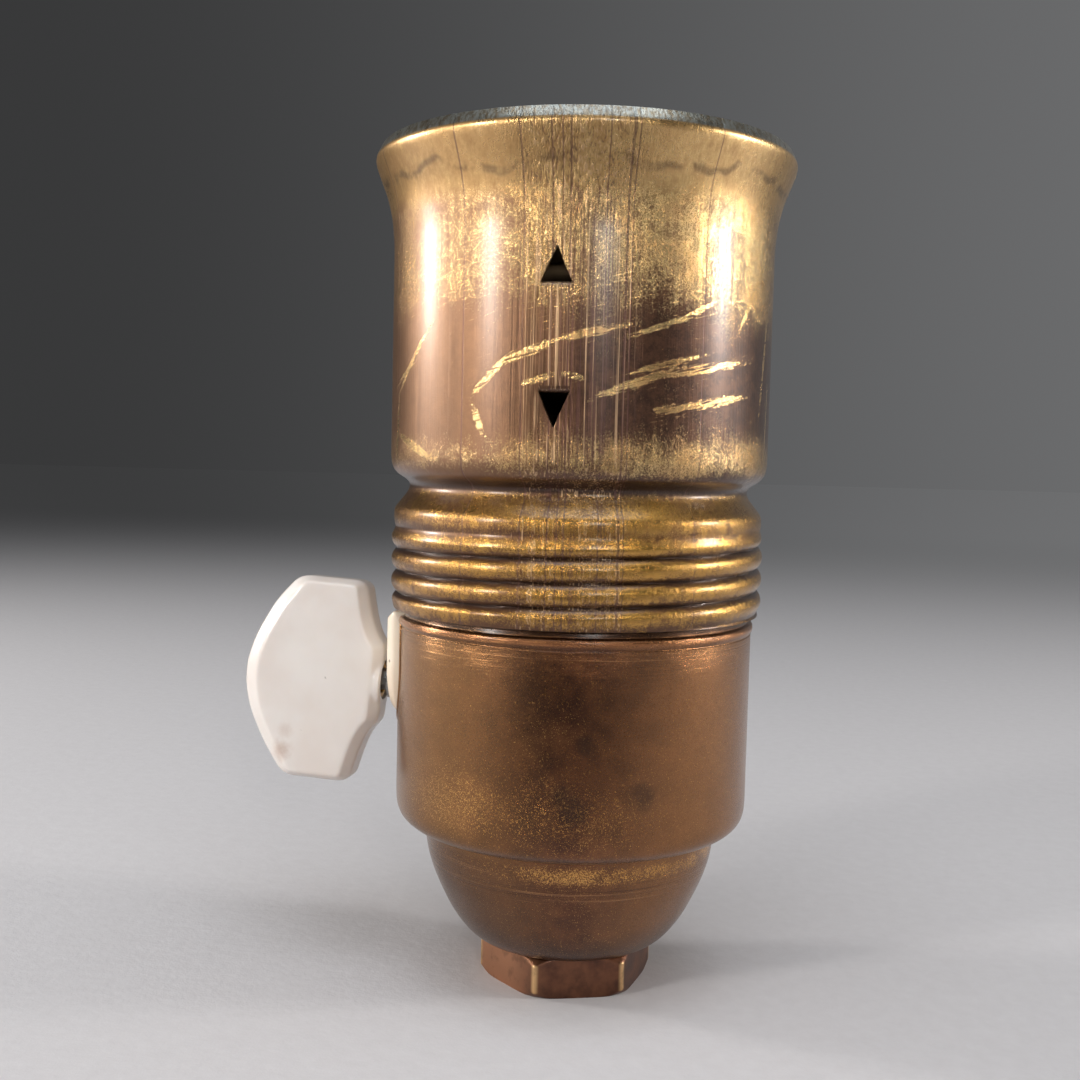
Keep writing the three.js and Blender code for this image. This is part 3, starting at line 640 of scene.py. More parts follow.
def shell_brass():
    g = Graph("shell_brass")
    turn, flat = around(g)
    radius = g.from_axis()

    cloud = g.noise(0.16, 4, rough=0.6)
    mottle = g.noise(0.8, 5, rough=0.75)
    grain = g.noise(5.5, 4, rough=0.8)
    speck = g.noise(13, 2, rough=0.8)
    smear = g.noise(2.2, 3, g.stretched((1, 1, 0.05)), rough=0.7)
    hatch = hatching(g, turn, 1.3)

    # how much of the brass has darkened, by height
    dark = g.ramp(
        g.z,
        [
            (40, 0.78), (49, 0.7), (50.5, 0.5), (52.5, 0.6), (54, 0.9), (55.5, 0.62), (57.5, 0.72),
            (60, 0.94), (65, 0.98), (69, 0.86), (73, 0.6), (79, 0.54), (81, 0.56), (MOUTH_TOP, 0.55),
        ],
    )
    warm_side = facing(g, turn, -60, 0.2, 1)
    gold_side = facing(g, turn, 38, 0.5, 1)
    dark = g.add(dark, g.times(warm_side, 0.08), g.times(gold_side, -0.1), g.times(g.off(cloud), 0.9))
    dark = g.add(dark, g.times(g.off(mottle), 0.8), g.times(g.off(smear), 0.5))
    rubbed = g.band(g.z, 59, 76, 3)
    dark = g.add(dark, g.times(g.band(g.z, 59, 68.5, 2), 0.16))
    flecks = g.times(g.between(hatch, 0.57, 0.66), rubbed, g.between(mottle, 0.44, 0.58))
    worn = g.highest([g.times(strokes(g, turn, flat), 0.85), g.times(flecks, 0.45)])
    thread = g.between(g.z, 50, 49.3)
    crest = g.times(thread, g.between(radius, 19.45, 19.75))
    dark = g.minus(dark, g.add(worn, g.times(crest, 0.3)))
    edge = g.add(dark, g.times(g.off(grain), 1.2), g.times(g.off(speck), 1.3))
    flare = g.between(g.z, 79.5, 82)
    patina = g.blend(flare, g.between(edge, 0.26, 0.78), g.between(dark, 0.1, 0.9))

    low_part = g.between(g.z, 53.5, 52)
    gold = g.mix(g.between(cloud, 0.35, 0.65), GOLD, BRIGHT_GOLD)
    gold = g.coats(gold, (low_part, 0.85, rgb(194, 142, 52)))
    brown = g.mix(g.between(mottle, 0.38, 0.62), DEEP_BROWN, PLUM)
    brown = g.coats(brown, (warm_side, 0.5, PINK_BROWN), (flare, 0.85, OLIVE))
    brown = g.coats(brown, (low_part, 0.8, rgb(92, 56, 28)))
    colour = g.mix(patina, gold, brown)

    # painted shade in the grooves of the thread and in the crease over the bead, and the stain under the
    # lip
    groove = g.times(g.between(radius, 19.6, 19.22), thread)
    crease = g.band(g.z, 52.7, 54.1, 0.5)
    wave = g.times(g.off(g.noise(0.1, 3, g.stretched((1, 1, 0)))), 7)
    gap = g.math("ABSOLUTE", g.minus(g.z, g.add(wave, 83.4)))
    stain = g.times(g.between(gap, 0.6, 0.1), g.between(g.noise(0.4, 3), 0.42, 0.6), flare)
    colour = g.coats(colour, (groove, 0.9, UMBER), (crease, 0.85, UMBER), (stain, 0.5, UMBER))

    lines = draw_lines(g, turn)
    scratch = single_lines(g, turn)
    colour = g.coats(
        colour,
        (g.between(lines, -0.06, -0.22), 0.6, DRAWN_DARK),
        (g.between(lines, 0.07, 0.22), 0.55, DRAWN_LIGHT),
        (scratch, 0.6, DRAWN_DARK),
    )
    # Painted reflection: a streaky pale blue-grey band along the top of the lip stands for the sky seen in
    # it.
    streak = g.noise(3, 2, g.stretched((1, 1, 0.02)), rough=0.7)
    lip = g.times(g.between(g.z, 86.55, 86.75), g.blend(streak, 0.6, 1))
    colour = g.mix(lip, colour, g.mix(g.between(streak, 0.35, 0.6), rgb(88, 94, 90), SKY_REFLECTION_GREY))
    # Painted shade: the tabs and the wall round the windows, and every face that looks at the axis, are
    # darkened so that the windows look dark.
    punched = g.times(g.between(radius, 19.3, 18.9), g.band(g.z, 60, 74.5, 0.3))
    painted_shade_in = g.highest([inside(g), punched])
    colour = g.coats(colour, (painted_shade_in, 0.92, rgb(40, 30, 24)))

    rough = g.add(0.15, g.times(patina, 0.11), g.times(cloud, 0.06), g.times(grain, 0.1))
    rough = g.add(rough, g.times(painted_shade_in, 0.3))
    relief = g.add(g.times(lines, 2), g.times(scratch, -0.4), g.times(grain, 0.32), g.times(speck, 0.2))
    g.bump(g.add(relief, g.times(patina, 0.12)), 0.05, 0.8)
    lacquer(g, 0.65)
    return g.finish(Base_Color=colour, Roughness=rough, Metallic=g.add(0.97, g.times(patina, -0.2)))


def cap_brass():
    g = Graph("cap_brass")
    turn, _ = around(g)
    cloud = g.noise(0.11, 3, rough=0.55)
    mottle = g.noise(0.4, 5, rough=0.6)
    grain = g.noise(5, 4, rough=0.8)
    speck = g.noise(11, 2, rough=0.8)

    # golden specks gather low on the front, and in a band on the dome under the step
    low = g.times(g.band(g.z, 19, 25, 3), facing(g, turn, -14, 0.55, 1))
    right = facing(g, turn, 40, 0.3, 0.95)
    dome_band = g.times(g.band(g.z, 14.5, 16.2, 0.5), g.add(0.35, right), g.between(mottle, 0.2, 0.6))
    bright = g.add(g.times(low, 0.17), g.times(dome_band, 0.24), g.times(g.off(cloud), 0.35))
    level = g.add(bright, g.times(g.off(grain), 1.4), g.times(g.off(speck), 1.8))
    gold = g.between(level, 0.3, 0.44)

    brown = g.coats(
        g.mix(g.between(mottle, 0.3, 0.7), rgb(80, 46, 30), rgb(118, 73, 44)),
        # painted highlights: lighter towards the left and the right side, where the side lamps reflect
        (facing(g, turn, -75, 0.1, 0.95), 0.7, rgb(158, 114, 66)),
        (facing(g, turn, 80, 0.2, 1), 0.75, rgb(164, 115, 70)),
        # painted shade on the top of the dome under the step, strong on the left and faint on the right
        (g.between(g.z, 16.9, 15.6), g.blend(right, 0.6, 0.1), rgb(88, 58, 40)),
        # darker low on the dome, above the hexagon: partly a dark stain, partly painted shade
        (g.between(g.z, 9.5, 5), 0.5, rgb(48, 32, 24)),
        (g.between(grain, 0.46, 0.62), 0.3, rgb(70, 38, 26)),
    )
    blots = []
    wall = g.joined(g.times(turn, CAP_RADIUS), g.z, 0)
    for degrees, z, half in DARK_SPOTS:
        spot = g.blot(wall, (math.radians(degrees) * CAP_RADIUS, z), 20, half, half * 1.3)
        blots.append(g.between(g.add(spot, g.times(mottle, 1.2)), 1.9, 0.9))

    turning = g.noise(1.3, 3, g.stretched((0.03, 0.03, 5.5)), rough=0.75)
    near_rim = g.add(g.between(g.z, 34, 38), g.band(g.z, 12.4, 15.4, 0.6), 0.12)
    lines = g.times(g.off(turning), near_rim)
    colour = g.coats(
        g.mix(gold, brown, rgb(224, 168, 92)),
        (g.highest(blots), 0.5, rgb(58, 42, 34)),
        (g.between(lines, 0.07, 0.2), 0.45, rgb(214, 160, 108)),
        (g.between(lines, -0.06, -0.2), 0.5, rgb(58, 36, 26)),
        (g.band(g.z, 16.75, 17.15, 0.2), 0.8, rgb(40, 28, 22)),  # painted shade under the step
        (g.band(g.z, 38.5, 39.2, 0.15), 0.35, rgb(190, 128, 84)),  # painted highlight on the rim
        (g.between(g.z, 39.2, 39.5), 0.8, rgb(50, 34, 26)),  # painted shade on the neck inside the shell
        # painted shade on the faces that look at the axis
        (inside(g), 0.7, rgb(78, 58, 42)),
    )
    rough = g.add(0.17, g.times(cloud, 0.1), g.times(grain, 0.12))
    relief = g.add(g.times(lines, 1.5), g.times(grain, 0.25), g.times(gold, -0.12))
    g.bump(relief, 0.05, 0.8)
    lacquer(g, 0.45)
    return g.finish(Base_Color=colour, Roughness=rough, Metallic=g.add(0.94, g.times(gold, 0.04)))


def hex_brass():
    g = Graph("hex_brass")
    turn, _ = around(g)
    cloud = g.noise(0.3, 4, rough=0.6)
    grain = g.noise(3.2, 4, rough=0.75)
    colour = g.coats(
        g.mix(g.between(cloud, 0.3, 0.7), rgb(78, 48, 36), rgb(126, 82, 58)),
        # painted light: lighter on the left, the side that faces the lamps
        (facing(g, turn, -70, 0.4, 0.95), 0.75, rgb(196, 140, 104)),
        (g.between(g.from_axis(), 9.18, 9.38), 0.85, rgb(240, 196, 140)),  # painted highlight on the corners
        (g.between(g.noise(0.7, 4), 0.5, 0.7), 0.35, UMBER),
    )
    rough = g.add(0.3, g.times(cloud, 0.14), g.times(grain, 0.08))
    turning = g.noise(1, 2, g.stretched((0.2, 0.2, 6)))
    g.bump(g.add(g.times(grain, 0.3), g.times(turning, 0.2)), 0.05, 0.8)
    lacquer(g, 0.3)
    return g.finish(Base_Color=colour, Roughness=rough, Metallic=0.88)


def bright_brass(name, tint, tarnish, rough_base, painted_shade_out=0):
    """Brass that has been kept from handling: even colour, light tarnish and fine turning marks.

    The last argument, 0 to 1, is how far the faces that look away from the axis are darkened with painted
    shade.
    """
    g = Graph(name)
    cloud = g.noise(0.35, 4, rough=0.6)
    grain = g.noise(4, 3, rough=0.7)
    outside = g.minus(1, inside(g))
    # the faces that look away from the axis take painted shade, as much as the last argument asks
    colour = g.coats(
        g.mix(g.between(cloud, 0.38, 0.72), tint, tarnish),
        (g.between(grain, 0.56, 0.7), 0.5, tarnish),
        (outside, painted_shade_out, rgb(38, 28, 22)),
    )
    rough = g.add(rough_base, g.times(cloud, 0.14), g.times(grain, 0.08), g.times(outside, 0.3 * painted_shade_out))
    turning = g.noise(1.2, 2, g.stretched((0.15, 0.15, 5)))
    g.bump(g.add(g.times(grain, 0.3), g.times(turning, 0.3)), 0.03, 0.7)
    return g.finish(Base_Color=colour, Roughness=rough, Metallic=0.95)


def steel():
    g = Graph("aged_steel")
    cloud = g.noise(0.5, 4)
    grain = g.noise(4, 3, rough=0.7)
    colour = g.mix(g.between(cloud, 0.4, 0.7), rgb(176, 178, 180), rgb(128, 120, 112))
    colour = g.coats(colour, (g.between(grain, 0.6, 0.72), 0.6, rgb(110, 74, 50)))
    g.bump(grain, 0.02, 0.6)
    return g.finish(Base_Color=colour, Roughness=g.add(0.3, g.times(cloud, 0.2)), Metallic=0.92)


# ---------------------------------------------------------------- porcelain
def porcelain(name, white, shade, gloss, stains=()):
    """Glazed porcelain: uneven warm white, pin specks and soft handling stains."""
    g = Graph(name)
    colour = g.mix(g.between(g.noise(0.12, 3), 0.3, 0.7), white, shade)
    pins = g.times(g.between(g.cells(0.42), 0.1, 0.05), g.between(g.noise(0.35, 1), 0.56, 0.6))
    colour = g.coats(colour, (pins, 0.7, rgb(112, 96, 84)))
    smudge = g.noise(0.7, 4, rough=0.7)
    for x, y, z, size, depth in stains:
        away = g.vector("DISTANCE", g.point, (x, y, z), out="Value")
        spot = g.between(g.add(away, g.times(smudge, size)), size * 1.5, size * 0.5)
        colour = g.coats(colour, (spot, depth, rgb(178, 138, 112)))
    ripple = g.add(g.times(g.noise(0.35, 2), 0.6), g.times(g.noise(1.6, 3), 0.16))
    g.bump(ripple, 0.12, 0.5)
    g.preset(Subsurface_Weight=0.12, Subsurface_Radius=(1, 0.7, 0.5), Subsurface_Scale=1.2 * MM)
    g.preset(Coat_Weight=gloss, Coat_Roughness=0.16, IOR=1.5)
    return g.finish(Base_Color=colour, Roughness=g.add(0.34, g.times(smudge, 0.16)))


# ---------------------------------------------------------------- pieces
def make_hex_base():
    """The entry nut: a worn hexagon, its M10 x 1 bore and the threaded spigot above it."""
    corner = HEX_FLATS / 2 / math.cos(math.pi / 6)
    edge = corner - HEX_CHAMFER
    outer = [(ENTRY_RADIUS + 0.5, 0), (edge, 0), (corner, HEX_CHAMFER), (corner, HEX_HEIGHT - HEX_CHAMFER)]
    outer += [(edge, HEX_HEIGHT), (SPIGOT_RADIUS, HEX_HEIGHT)]
    rows = refine(rounded(outer, 0.15, 3), 0.12)
    rows += [(SPIGOT_RADIUS, HEX_HEIGHT + 0.1 * i, 0.2) for i in range(2, 42)]
    rows += [(SPIGOT_RADIUS - 0.3, SPIGOT_TOP), (ENTRY_RADIUS + 0.3, SPIGOT_TOP)]
    rows += [(ENTRY_RADIUS, SPIGOT_TOP - 0.1 * i, 0.2) for i in range(3, 83)]

    def radius_at(row, angle):
        r = row[0]
        if len(row) > 2:
            phase = (row[1] / ENTRY_PITCH - angle / (2 * math.pi)) % 1
            return r - row[2] * abs(2 * phase - 1)
        if row[1] > HEX_HEIGHT or r < SPIGOT_RADIUS + 0.01:
            return r
        face = (math.degrees(angle) - HEX_TURN + 30) % 60 - 30
        flat = HEX_FLATS / 2 / math.cos(math.radians(face))
        return -0.12 * math.log(math.exp(-r / 0.12) + math.exp(-flat / 0.12))

    return revolve("entry_nut", rows, radius_at, 360, 24)


def make_cap():
    """The spun base cap, with its notch for the collar."""
    shoulder = [(15.85, 17), (17.3, 17.1), (18.4, 17.9), (18.8, 18.8)]
    shoulder += [(CAP_RADIUS, CAP_STEP), (CAP_RADIUS, 34)]
    rim = [
        (CAP_RADIUS + out, CAP_RIM - down)
        for out, down in ((0, 1.3), (-0.1, 1.15), (0.12, 0.95), (0.2, 0.55), (0.1, 0.15), (-0.35, 0))
    ]
    neck = threaded(JOIN, NECK_THREAD_RADIUS, CAP_RIM + 0.3, NECK_TOP - 0.2)
    wall = refine(rounded(DOME, 3, 6) + rounded(shoulder, 1.5, 6) + rounded(rim, 0.2, 4), 0.8)
    wall += neck + [(NECK_THREAD_RADIUS - 0.15, NECK_TOP)]
    lining = [
        (NECK_BORE, NECK_TOP),
        (NECK_BORE, CAP_RIM - 0.8),
        (CAP_RADIUS - CAP_SHEET, CAP_RIM - 1.5),
        (CAP_RADIUS - CAP_SHEET, CAP_STEP),
        *((18, 18.9), (17.6, 18.35), (16.9, 17.85), (15.05, 17.65)),
        *[(radius - CAP_SHEET, z + 0.35) for radius, z in reversed(DOME[2:-1])],
        (9.4, CAP_FLOOR + CAP_SHEET),
        (SPIGOT_RADIUS + GAP, CAP_FLOOR + CAP_SHEET),
    ]
    cap = revolve("base_cap_spun", wall + lining, on_thread(JOIN))
    outline = collar_outline(COLLAR_HALF + GAP, NECK_TOP + 1)
    notch = prism("notch", outline, lambda p, side: (-CAP_RADIUS - 3 + 8 * side, p[0], p[1]))
    boolean(cap, notch)
    join(cap, notch_lip())
    return cap


def collar_outline(half, top, steps=40):
    """The collar's U in (y, z), from its top right corner down round its foot."""
    arc = [
        (half * math.cos(math.pi * i / steps), COLLAR_CENTRE_Z - half * math.sin(math.pi * i / steps))
        for i in range(steps + 1)
    ]
    return [(half, top)] + arc + [(-half, top)]


def notch_lip():
    """The turned edge of the notch: a fine bead that follows it on the cap's wall."""
    half = COLLAR_HALF + GAP + 0.2
    bead = 0.24
    path = refine(collar_outline(half, CAP_RIM - 0.25), 0.3)
    sides = 10
    points = []
    for i, (y, z) in enumerate(path):
        before, after = path[max(0, i - 1)], path[min(len(path) - 1, i + 1)]
        length = math.dist(before, after)
        normal = ((after[1] - before[1]) / length, -(after[0] - before[0]) / length)
        angle = math.asin(y / CAP_RADIUS)
        for j in range(sides):
            around_bead = 2 * math.pi * j / sides
            out = CAP_RADIUS - 0.1 + bead * math.cos(around_bead)
            side = bead * math.sin(around_bead)
            points.append((-out * math.cos(angle), y + normal[0] * side, z + normal[1] * side))
    last = (len(path) - 1) * sides
    ends = [tuple(range(sides)), tuple(last + j for j in reversed(range(sides)))]
    return mesh_object("lip", points, walls(len(path), sides) + ends)


def dent(z, angle):
    """How far the shell's wall is pushed in round its windows by the punch."""
    depth = 0
    for station in TAB_STATIONS:
        away = (math.degrees(angle) - station + 180) % 360 - 180
        if abs(away) > 25:
            continue
        arc = math.radians(away) * BARREL_RADIUS
        for face, toward_tip in ((LOWER_TAB_FACE, -1), (UPPER_TAB_FACE, 1)):
            centre = face + toward_tip * TAB_LENGTH * 0.55
            depth += 0.16 * math.exp(-(arc * arc) / 3.2 - (z - centre) ** 2 / 5)
    return depth


def make_shell():
    """The spun outer shell: rolled skirt, bead, waist, barrel, punched windows and flared mouth."""
    bead = [(SHELL_THREAD_RADIUS, BEAD_Z - 0.7), (BEAD_RADIUS, BEAD_Z), (BEAD_RADIUS - 0.05, BEAD_Z + 0.9)]
    waist = [(WAIST_RADIUS + 0.95, BEAD_Z + 1.7), (WAIST_RADIUS, WAIST_Z)]
    barrel = [
        (WAIST_RADIUS + 0.1, WAIST_Z + 0.9),
        (BARREL_RADIUS - 0.5, BARREL_FOOT - 0.8),
        (BARREL_RADIUS, BARREL_FOOT + 0.3),
        (BARREL_RADIUS, BARREL_TOP - 1),
        (BARREL_RADIUS + 0.25, BARREL_TOP + 1.6),
        (BARREL_RADIUS + 0.7, BARREL_TOP + 3.6),
        (BARREL_RADIUS + 1.45, BARREL_TOP + 5.6),
        (MOUTH_RADIUS, MOUTH_TOP - 1.7),
        (MOUTH_RADIUS + 0.02, MOUTH_TOP - 1.05),
        (MOUTH_RADIUS - 0.55, MOUTH_TOP),
    ]
    upper = rounded(bead + waist + barrel, 0.9, 6)
    skirt = [(SHELL_THREAD_RADIUS - 0.45, SHELL_EDGE)]
    skirt += threaded(JOIN, SHELL_THREAD_RADIUS, SHELL_EDGE + 0.12, BEAD_Z - 0.75)
    outer = skirt + refine(upper, 0.55)[1:]
    lining = [(row[0] - SHEET, *row[1:]) for row in reversed(outer) if row[1] < MOUTH_TOP - 0.3]
    lip = [(MOUTH_RADIUS - 0.85, MOUTH_TOP - 0.04), (MOUTH_RADIUS - 1.05, MOUTH_TOP - 0.2)]

    threads = on_thread(JOIN)

    def radius_at(row, angle):
        return threads(row, angle) - (dent(row[1], angle) if BARREL_FOOT < row[1] < BARREL_TOP else 0)

    shell = revolve("shell_spun", outer + lip + lining, radius_at)
    tabs = []
    for station in TAB_STATIONS:
        for face, tip in ((LOWER_TAB_FACE, -1), (UPPER_TAB_FACE, 1)):
            boolean(shell, window(station, face, tip))
            tabs += bent_tab(station, face, tip)
    join(shell, *tabs)
    return shell


def window(station, face, tip):
    """The hole that a tab leaves, opened as far as the tab's bend."""
    half = TAB_WIDTH / 2
    outline = [
        (-half, face - tip * SHEET),
        (half, face - tip * SHEET),
        (half, face),
        (0.06, face + tip * TAB_LENGTH),
        (-0.06, face + tip * TAB_LENGTH),
        (-half, face),
    ]

    def lift(point, side):
        angle = math.radians(station) + point[0] / BARREL_RADIUS
        r = BARREL_RADIUS - 2 + 4 * side
        return r * math.cos(angle), r * math.sin(angle), point[1]

    return prism("window", outline, lift)


def bent_tab(station, face, tip):
    """The tab itself: a quarter-round bend out of the wall, then a plate tapering inwards."""
    inner = BARREL_RADIUS - SHEET
    root = face - tip * SHEET

    def across(r, half, z):
        """Two points of the tab, half to either side of its middle."""
        angles = [math.radians(station) + side * half / BARREL_RADIUS for side in (-1, 1)]
        return [(r * math.cos(a), r * math.sin(a), z) for a in angles]

    half = TAB_WIDTH / 2
    bend = []
    for i in range(9):
        turn = math.pi / 2 * i / 8
        r = inner + SHEET * math.cos(turn) - 0.1 * math.cos(turn)
        bend += across(r, half, root + tip * SHEET * math.sin(turn))
    bend += across(inner, half, root)
    plate = []
    for z in (root, face):
        plate += across(inner, half, z) + across(inner - TAB_LENGTH + 0.3, 0.12, z)
    return [hull("bend", bend), hull("plate", plate)]


def make_mouth_ring():
    """The glazed porcelain ring round the screw shell."""
    outer = [(16.7, RING_FOOT), (RING_OUTER, RING_FOOT), (RING_OUTER, RING_TOP), (RING_INNER, RING_TOP)]
    outer = rounded(outer + [(RING_INNER, RING_FOOT), (16.6, RING_FOOT)], 1, 7)
    return revolve("mouth_ring_glazed", refine(outer, 1), None, 192)


def make_screw_shell():
    """The E27 screw shell with its inward flange."""
    outer = E27_MEAN_RADIUS + E27_SHEET
    foot = [(outer - 0.5, E27_FOOT), (outer - 0.2, E27_FOOT + 0.3), (outer - 0.1, E27_FOOT + 0.9)]
    wall = foot + threaded(E27, outer, E27_FOOT + 1.9, E27_TOP - 1)
    wall += [(outer + 0.1, E27_TOP - 0.4), (outer + 0.2, E27_TOP)]
    lining = [(row[0] - E27_SHEET, *row[1:]) for row in reversed(wall[3:])]
    lining += [
        (E27_MEAN_RADIUS - 0.4, E27_FOOT + 1.2),
        (E27_MEAN_RADIUS - 0.8, E27_FOOT + E27_SHEET),
        (E27_FLANGE_INNER, E27_FOOT + E27_SHEET),
        (E27_FLANGE_INNER, E27_FOOT),
    ]
    piece = revolve("screw_shell_rolled", wall + lining, on_thread(E27), 192)
    low, high = E27_FOOT - 1, E27_FOOT + 1
    for angle in (0, 180):
        x, y = polar(SHELL_SCREW_RADIUS, angle)
        hole = turned("hole", [(0, low), (1.3, low), (1.3, high), (0, high)], 32)
        hole.data.transform(Matrix.Translation((x * MM, y * MM, 0)))
        boolean(piece, hole)
    return piece


def make_screw(name, node, slot_turn):
    """A slotted cheese-head screw in the place of a CAD screw."""
    low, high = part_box(node)
    x, y = (low.x + high.x) / 2 / MM, (low.y + high.y) / 2 / MM
    head = (high.x - low.x) / 2 / MM
    top, end = high.z / MM, low.z / MM
    depth = 2.1 if head > 2.5 else 1.3
    shank = head * 0.53
    profile = [(0, end), (shank, end), (shank, top - depth), (head, top - depth), (head, top - 0.35)]
    profile += [(head - 0.15, top - 0.12), (head - 0.45, top - 0.02), (0, top)]
    screw = turned(name, profile, 48)
    half = head + 0.5
    slot = prism(
        "slot",
        [(-half, -0.28), (half, -0.28), (half, 0.28), (-half, 0.28)],
        lambda p, side: (p[0], p[1], top - 0.6 + side),
    )
    boolean(screw, slot)
    screw.data.transform(
        Matrix.Translation((x * MM, y * MM, 0)) @ Matrix.Rotation(math.radians(slot_turn), 4, "Z")
    )
    return screw


def key_outline():
    """The wing's outline, outwards along +X: flat ends, a bowed outer side and a swelling inner side."""
    inner = KEY_INNER_SIDE + [(x, -y) for x, y in reversed(KEY_INNER_SIDE)]
    loop = KEY_OUTER_SIDE + inner
    start = ((loop[-1][0] + loop[0][0]) / 2, loop[0][1])
    return refine(rounded([start] + loop + [start], 1.3, 5), 0.5)[:-1]


def make_key():
    """The porcelain wing, its broad chamfers and boss melted together as the glaze does."""
    outline = key_outline()
    count = len(outline)
    half = KEY_THICK / 2
    points = []
    # back face, its edge, front edge and front face, in one closed skin
    for side, inset in ((-1, 1), (-1, 0), (1, 0), (1, 1)):
        for i, (x, y) in enumerate(outline):
            (ax, ay), (bx, by) = outline[i - 1], outline[(i + 1) % count]
            length = math.hypot(bx - ax, by - ay)
            nx, ny = (by - ay) / length, -(bx - ax) / length
            width = inset * (0.65 + 0.95 * max(0, nx) + 0.4 * max(0, -nx))
            points.append((x - nx * width, y - ny * width, side * (half - KEY_EDGE * (1 - inset))))
    faces = walls(4, count)
    for start, side in ((0, -1), (3 * count, 1)):
        middle = len(points)
        points.append((0.6, 0, side * (half + KEY_CROWN)))
        for i in range(count):
            pair = (start + i, start + (i + 1) % count)
            faces.append((middle, *pair[::side]))
    wing = mesh_object("key_glazed", points, faces)
    boss_profile = [(0, -KEY_INNER_BULGE), (KEY_BOSS_RADIUS, -KEY_INNER_BULGE)]
    boss_profile += [(KEY_BOSS_RADIUS - 0.2, -4.6), (1.6, -2.2), (0, -2)]
    boss = turned("boss", boss_profile, 64)
    boss.data.transform(Matrix.Rotation(math.pi / 2, 4, "Y"))
    join(wing, boss)
    melt(wing, 0.22, 9)
    stand = Matrix(((-1, 0, 0, 0), (0, 0, 1, 0), (0, 1, 0, 0), (0, 0, 0, 1)))
    wing.data.transform(
        Matrix.Translation((-KEY_CENTRE * MM, 0, SPINDLE_Z * MM))
        @ Matrix.Rotation(math.radians(KEY_TURN), 4, "X")
        @ stand
        @ Matrix.Rotation(math.radians(KEY_LEAN), 4, "Z")
    )
    inner = -KEY_CENTRE + KEY_INNER_BULGE
    boolean(wing, cross_bar("bore", FERRULE_RADIUS + 0.25, inner - 4.2, inner + 1), sharp=50)
    boolean(wing, cross_bar("tail", TAIL_RADIUS + GAP, TAIL_END, inner - 4), sharp=50)
    return wing


def make_collar():
    """The porcelain tongue that fills the cap's notch, its edge a little uneven."""
    bevel = 0.8
    points = []
    for inset, x in ((0, COLLAR_BACK), (0, COLLAR_FACE - bevel), (bevel, COLLAR_FACE)):
        points += [(-x, y, z) for y, z in collar_outline(COLLAR_HALF - inset, COLLAR_TOP - inset)]
    count = len(points) // 3
    faces = [tuple(range(count)), tuple(range(3 * count - 1, 2 * count - 1, -1))]
    faces += [(b, a, d, c) for a, b, c, d in walls(3, count)]
    collar = mesh_object("key_collar_glazed", points, faces)
    melt(collar, 0.2, 10)
    boolean(collar, cross_bar("bore", 2.3, -COLLAR_FACE - 1, -COLLAR_BACK + 1), sharp=50)
    return collar


# ---------------------------------------------------------------- putting together
def dress(piece, material, body, node, slot):
    """Gives a new piece its material and its body, and hides the CAD node that it stands for."""
    piece.data.materials.clear()
    piece.data.materials.append(material)
    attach(piece, body)
    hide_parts(node)


def keep(node, material, edge=0.12):
    """Keeps a CAD node as it is, with softened edges and its own material."""
    piece = frame["nodes"][node]
    piece.data.materials.clear()
    piece.data.materials.append(material)
    weld = piece.modifiers.new("weld", "WELD")
    weld.merge_threshold = 0.01 * MM
    bevel = piece.modifiers.new("edges", "BEVEL")
    bevel.limit_method = "ANGLE"
    bevel.angle_limit = math.radians(40)
    bevel.width = edge * MM
    bevel.segments = 2
    bevel.use_clamp_overlap = True


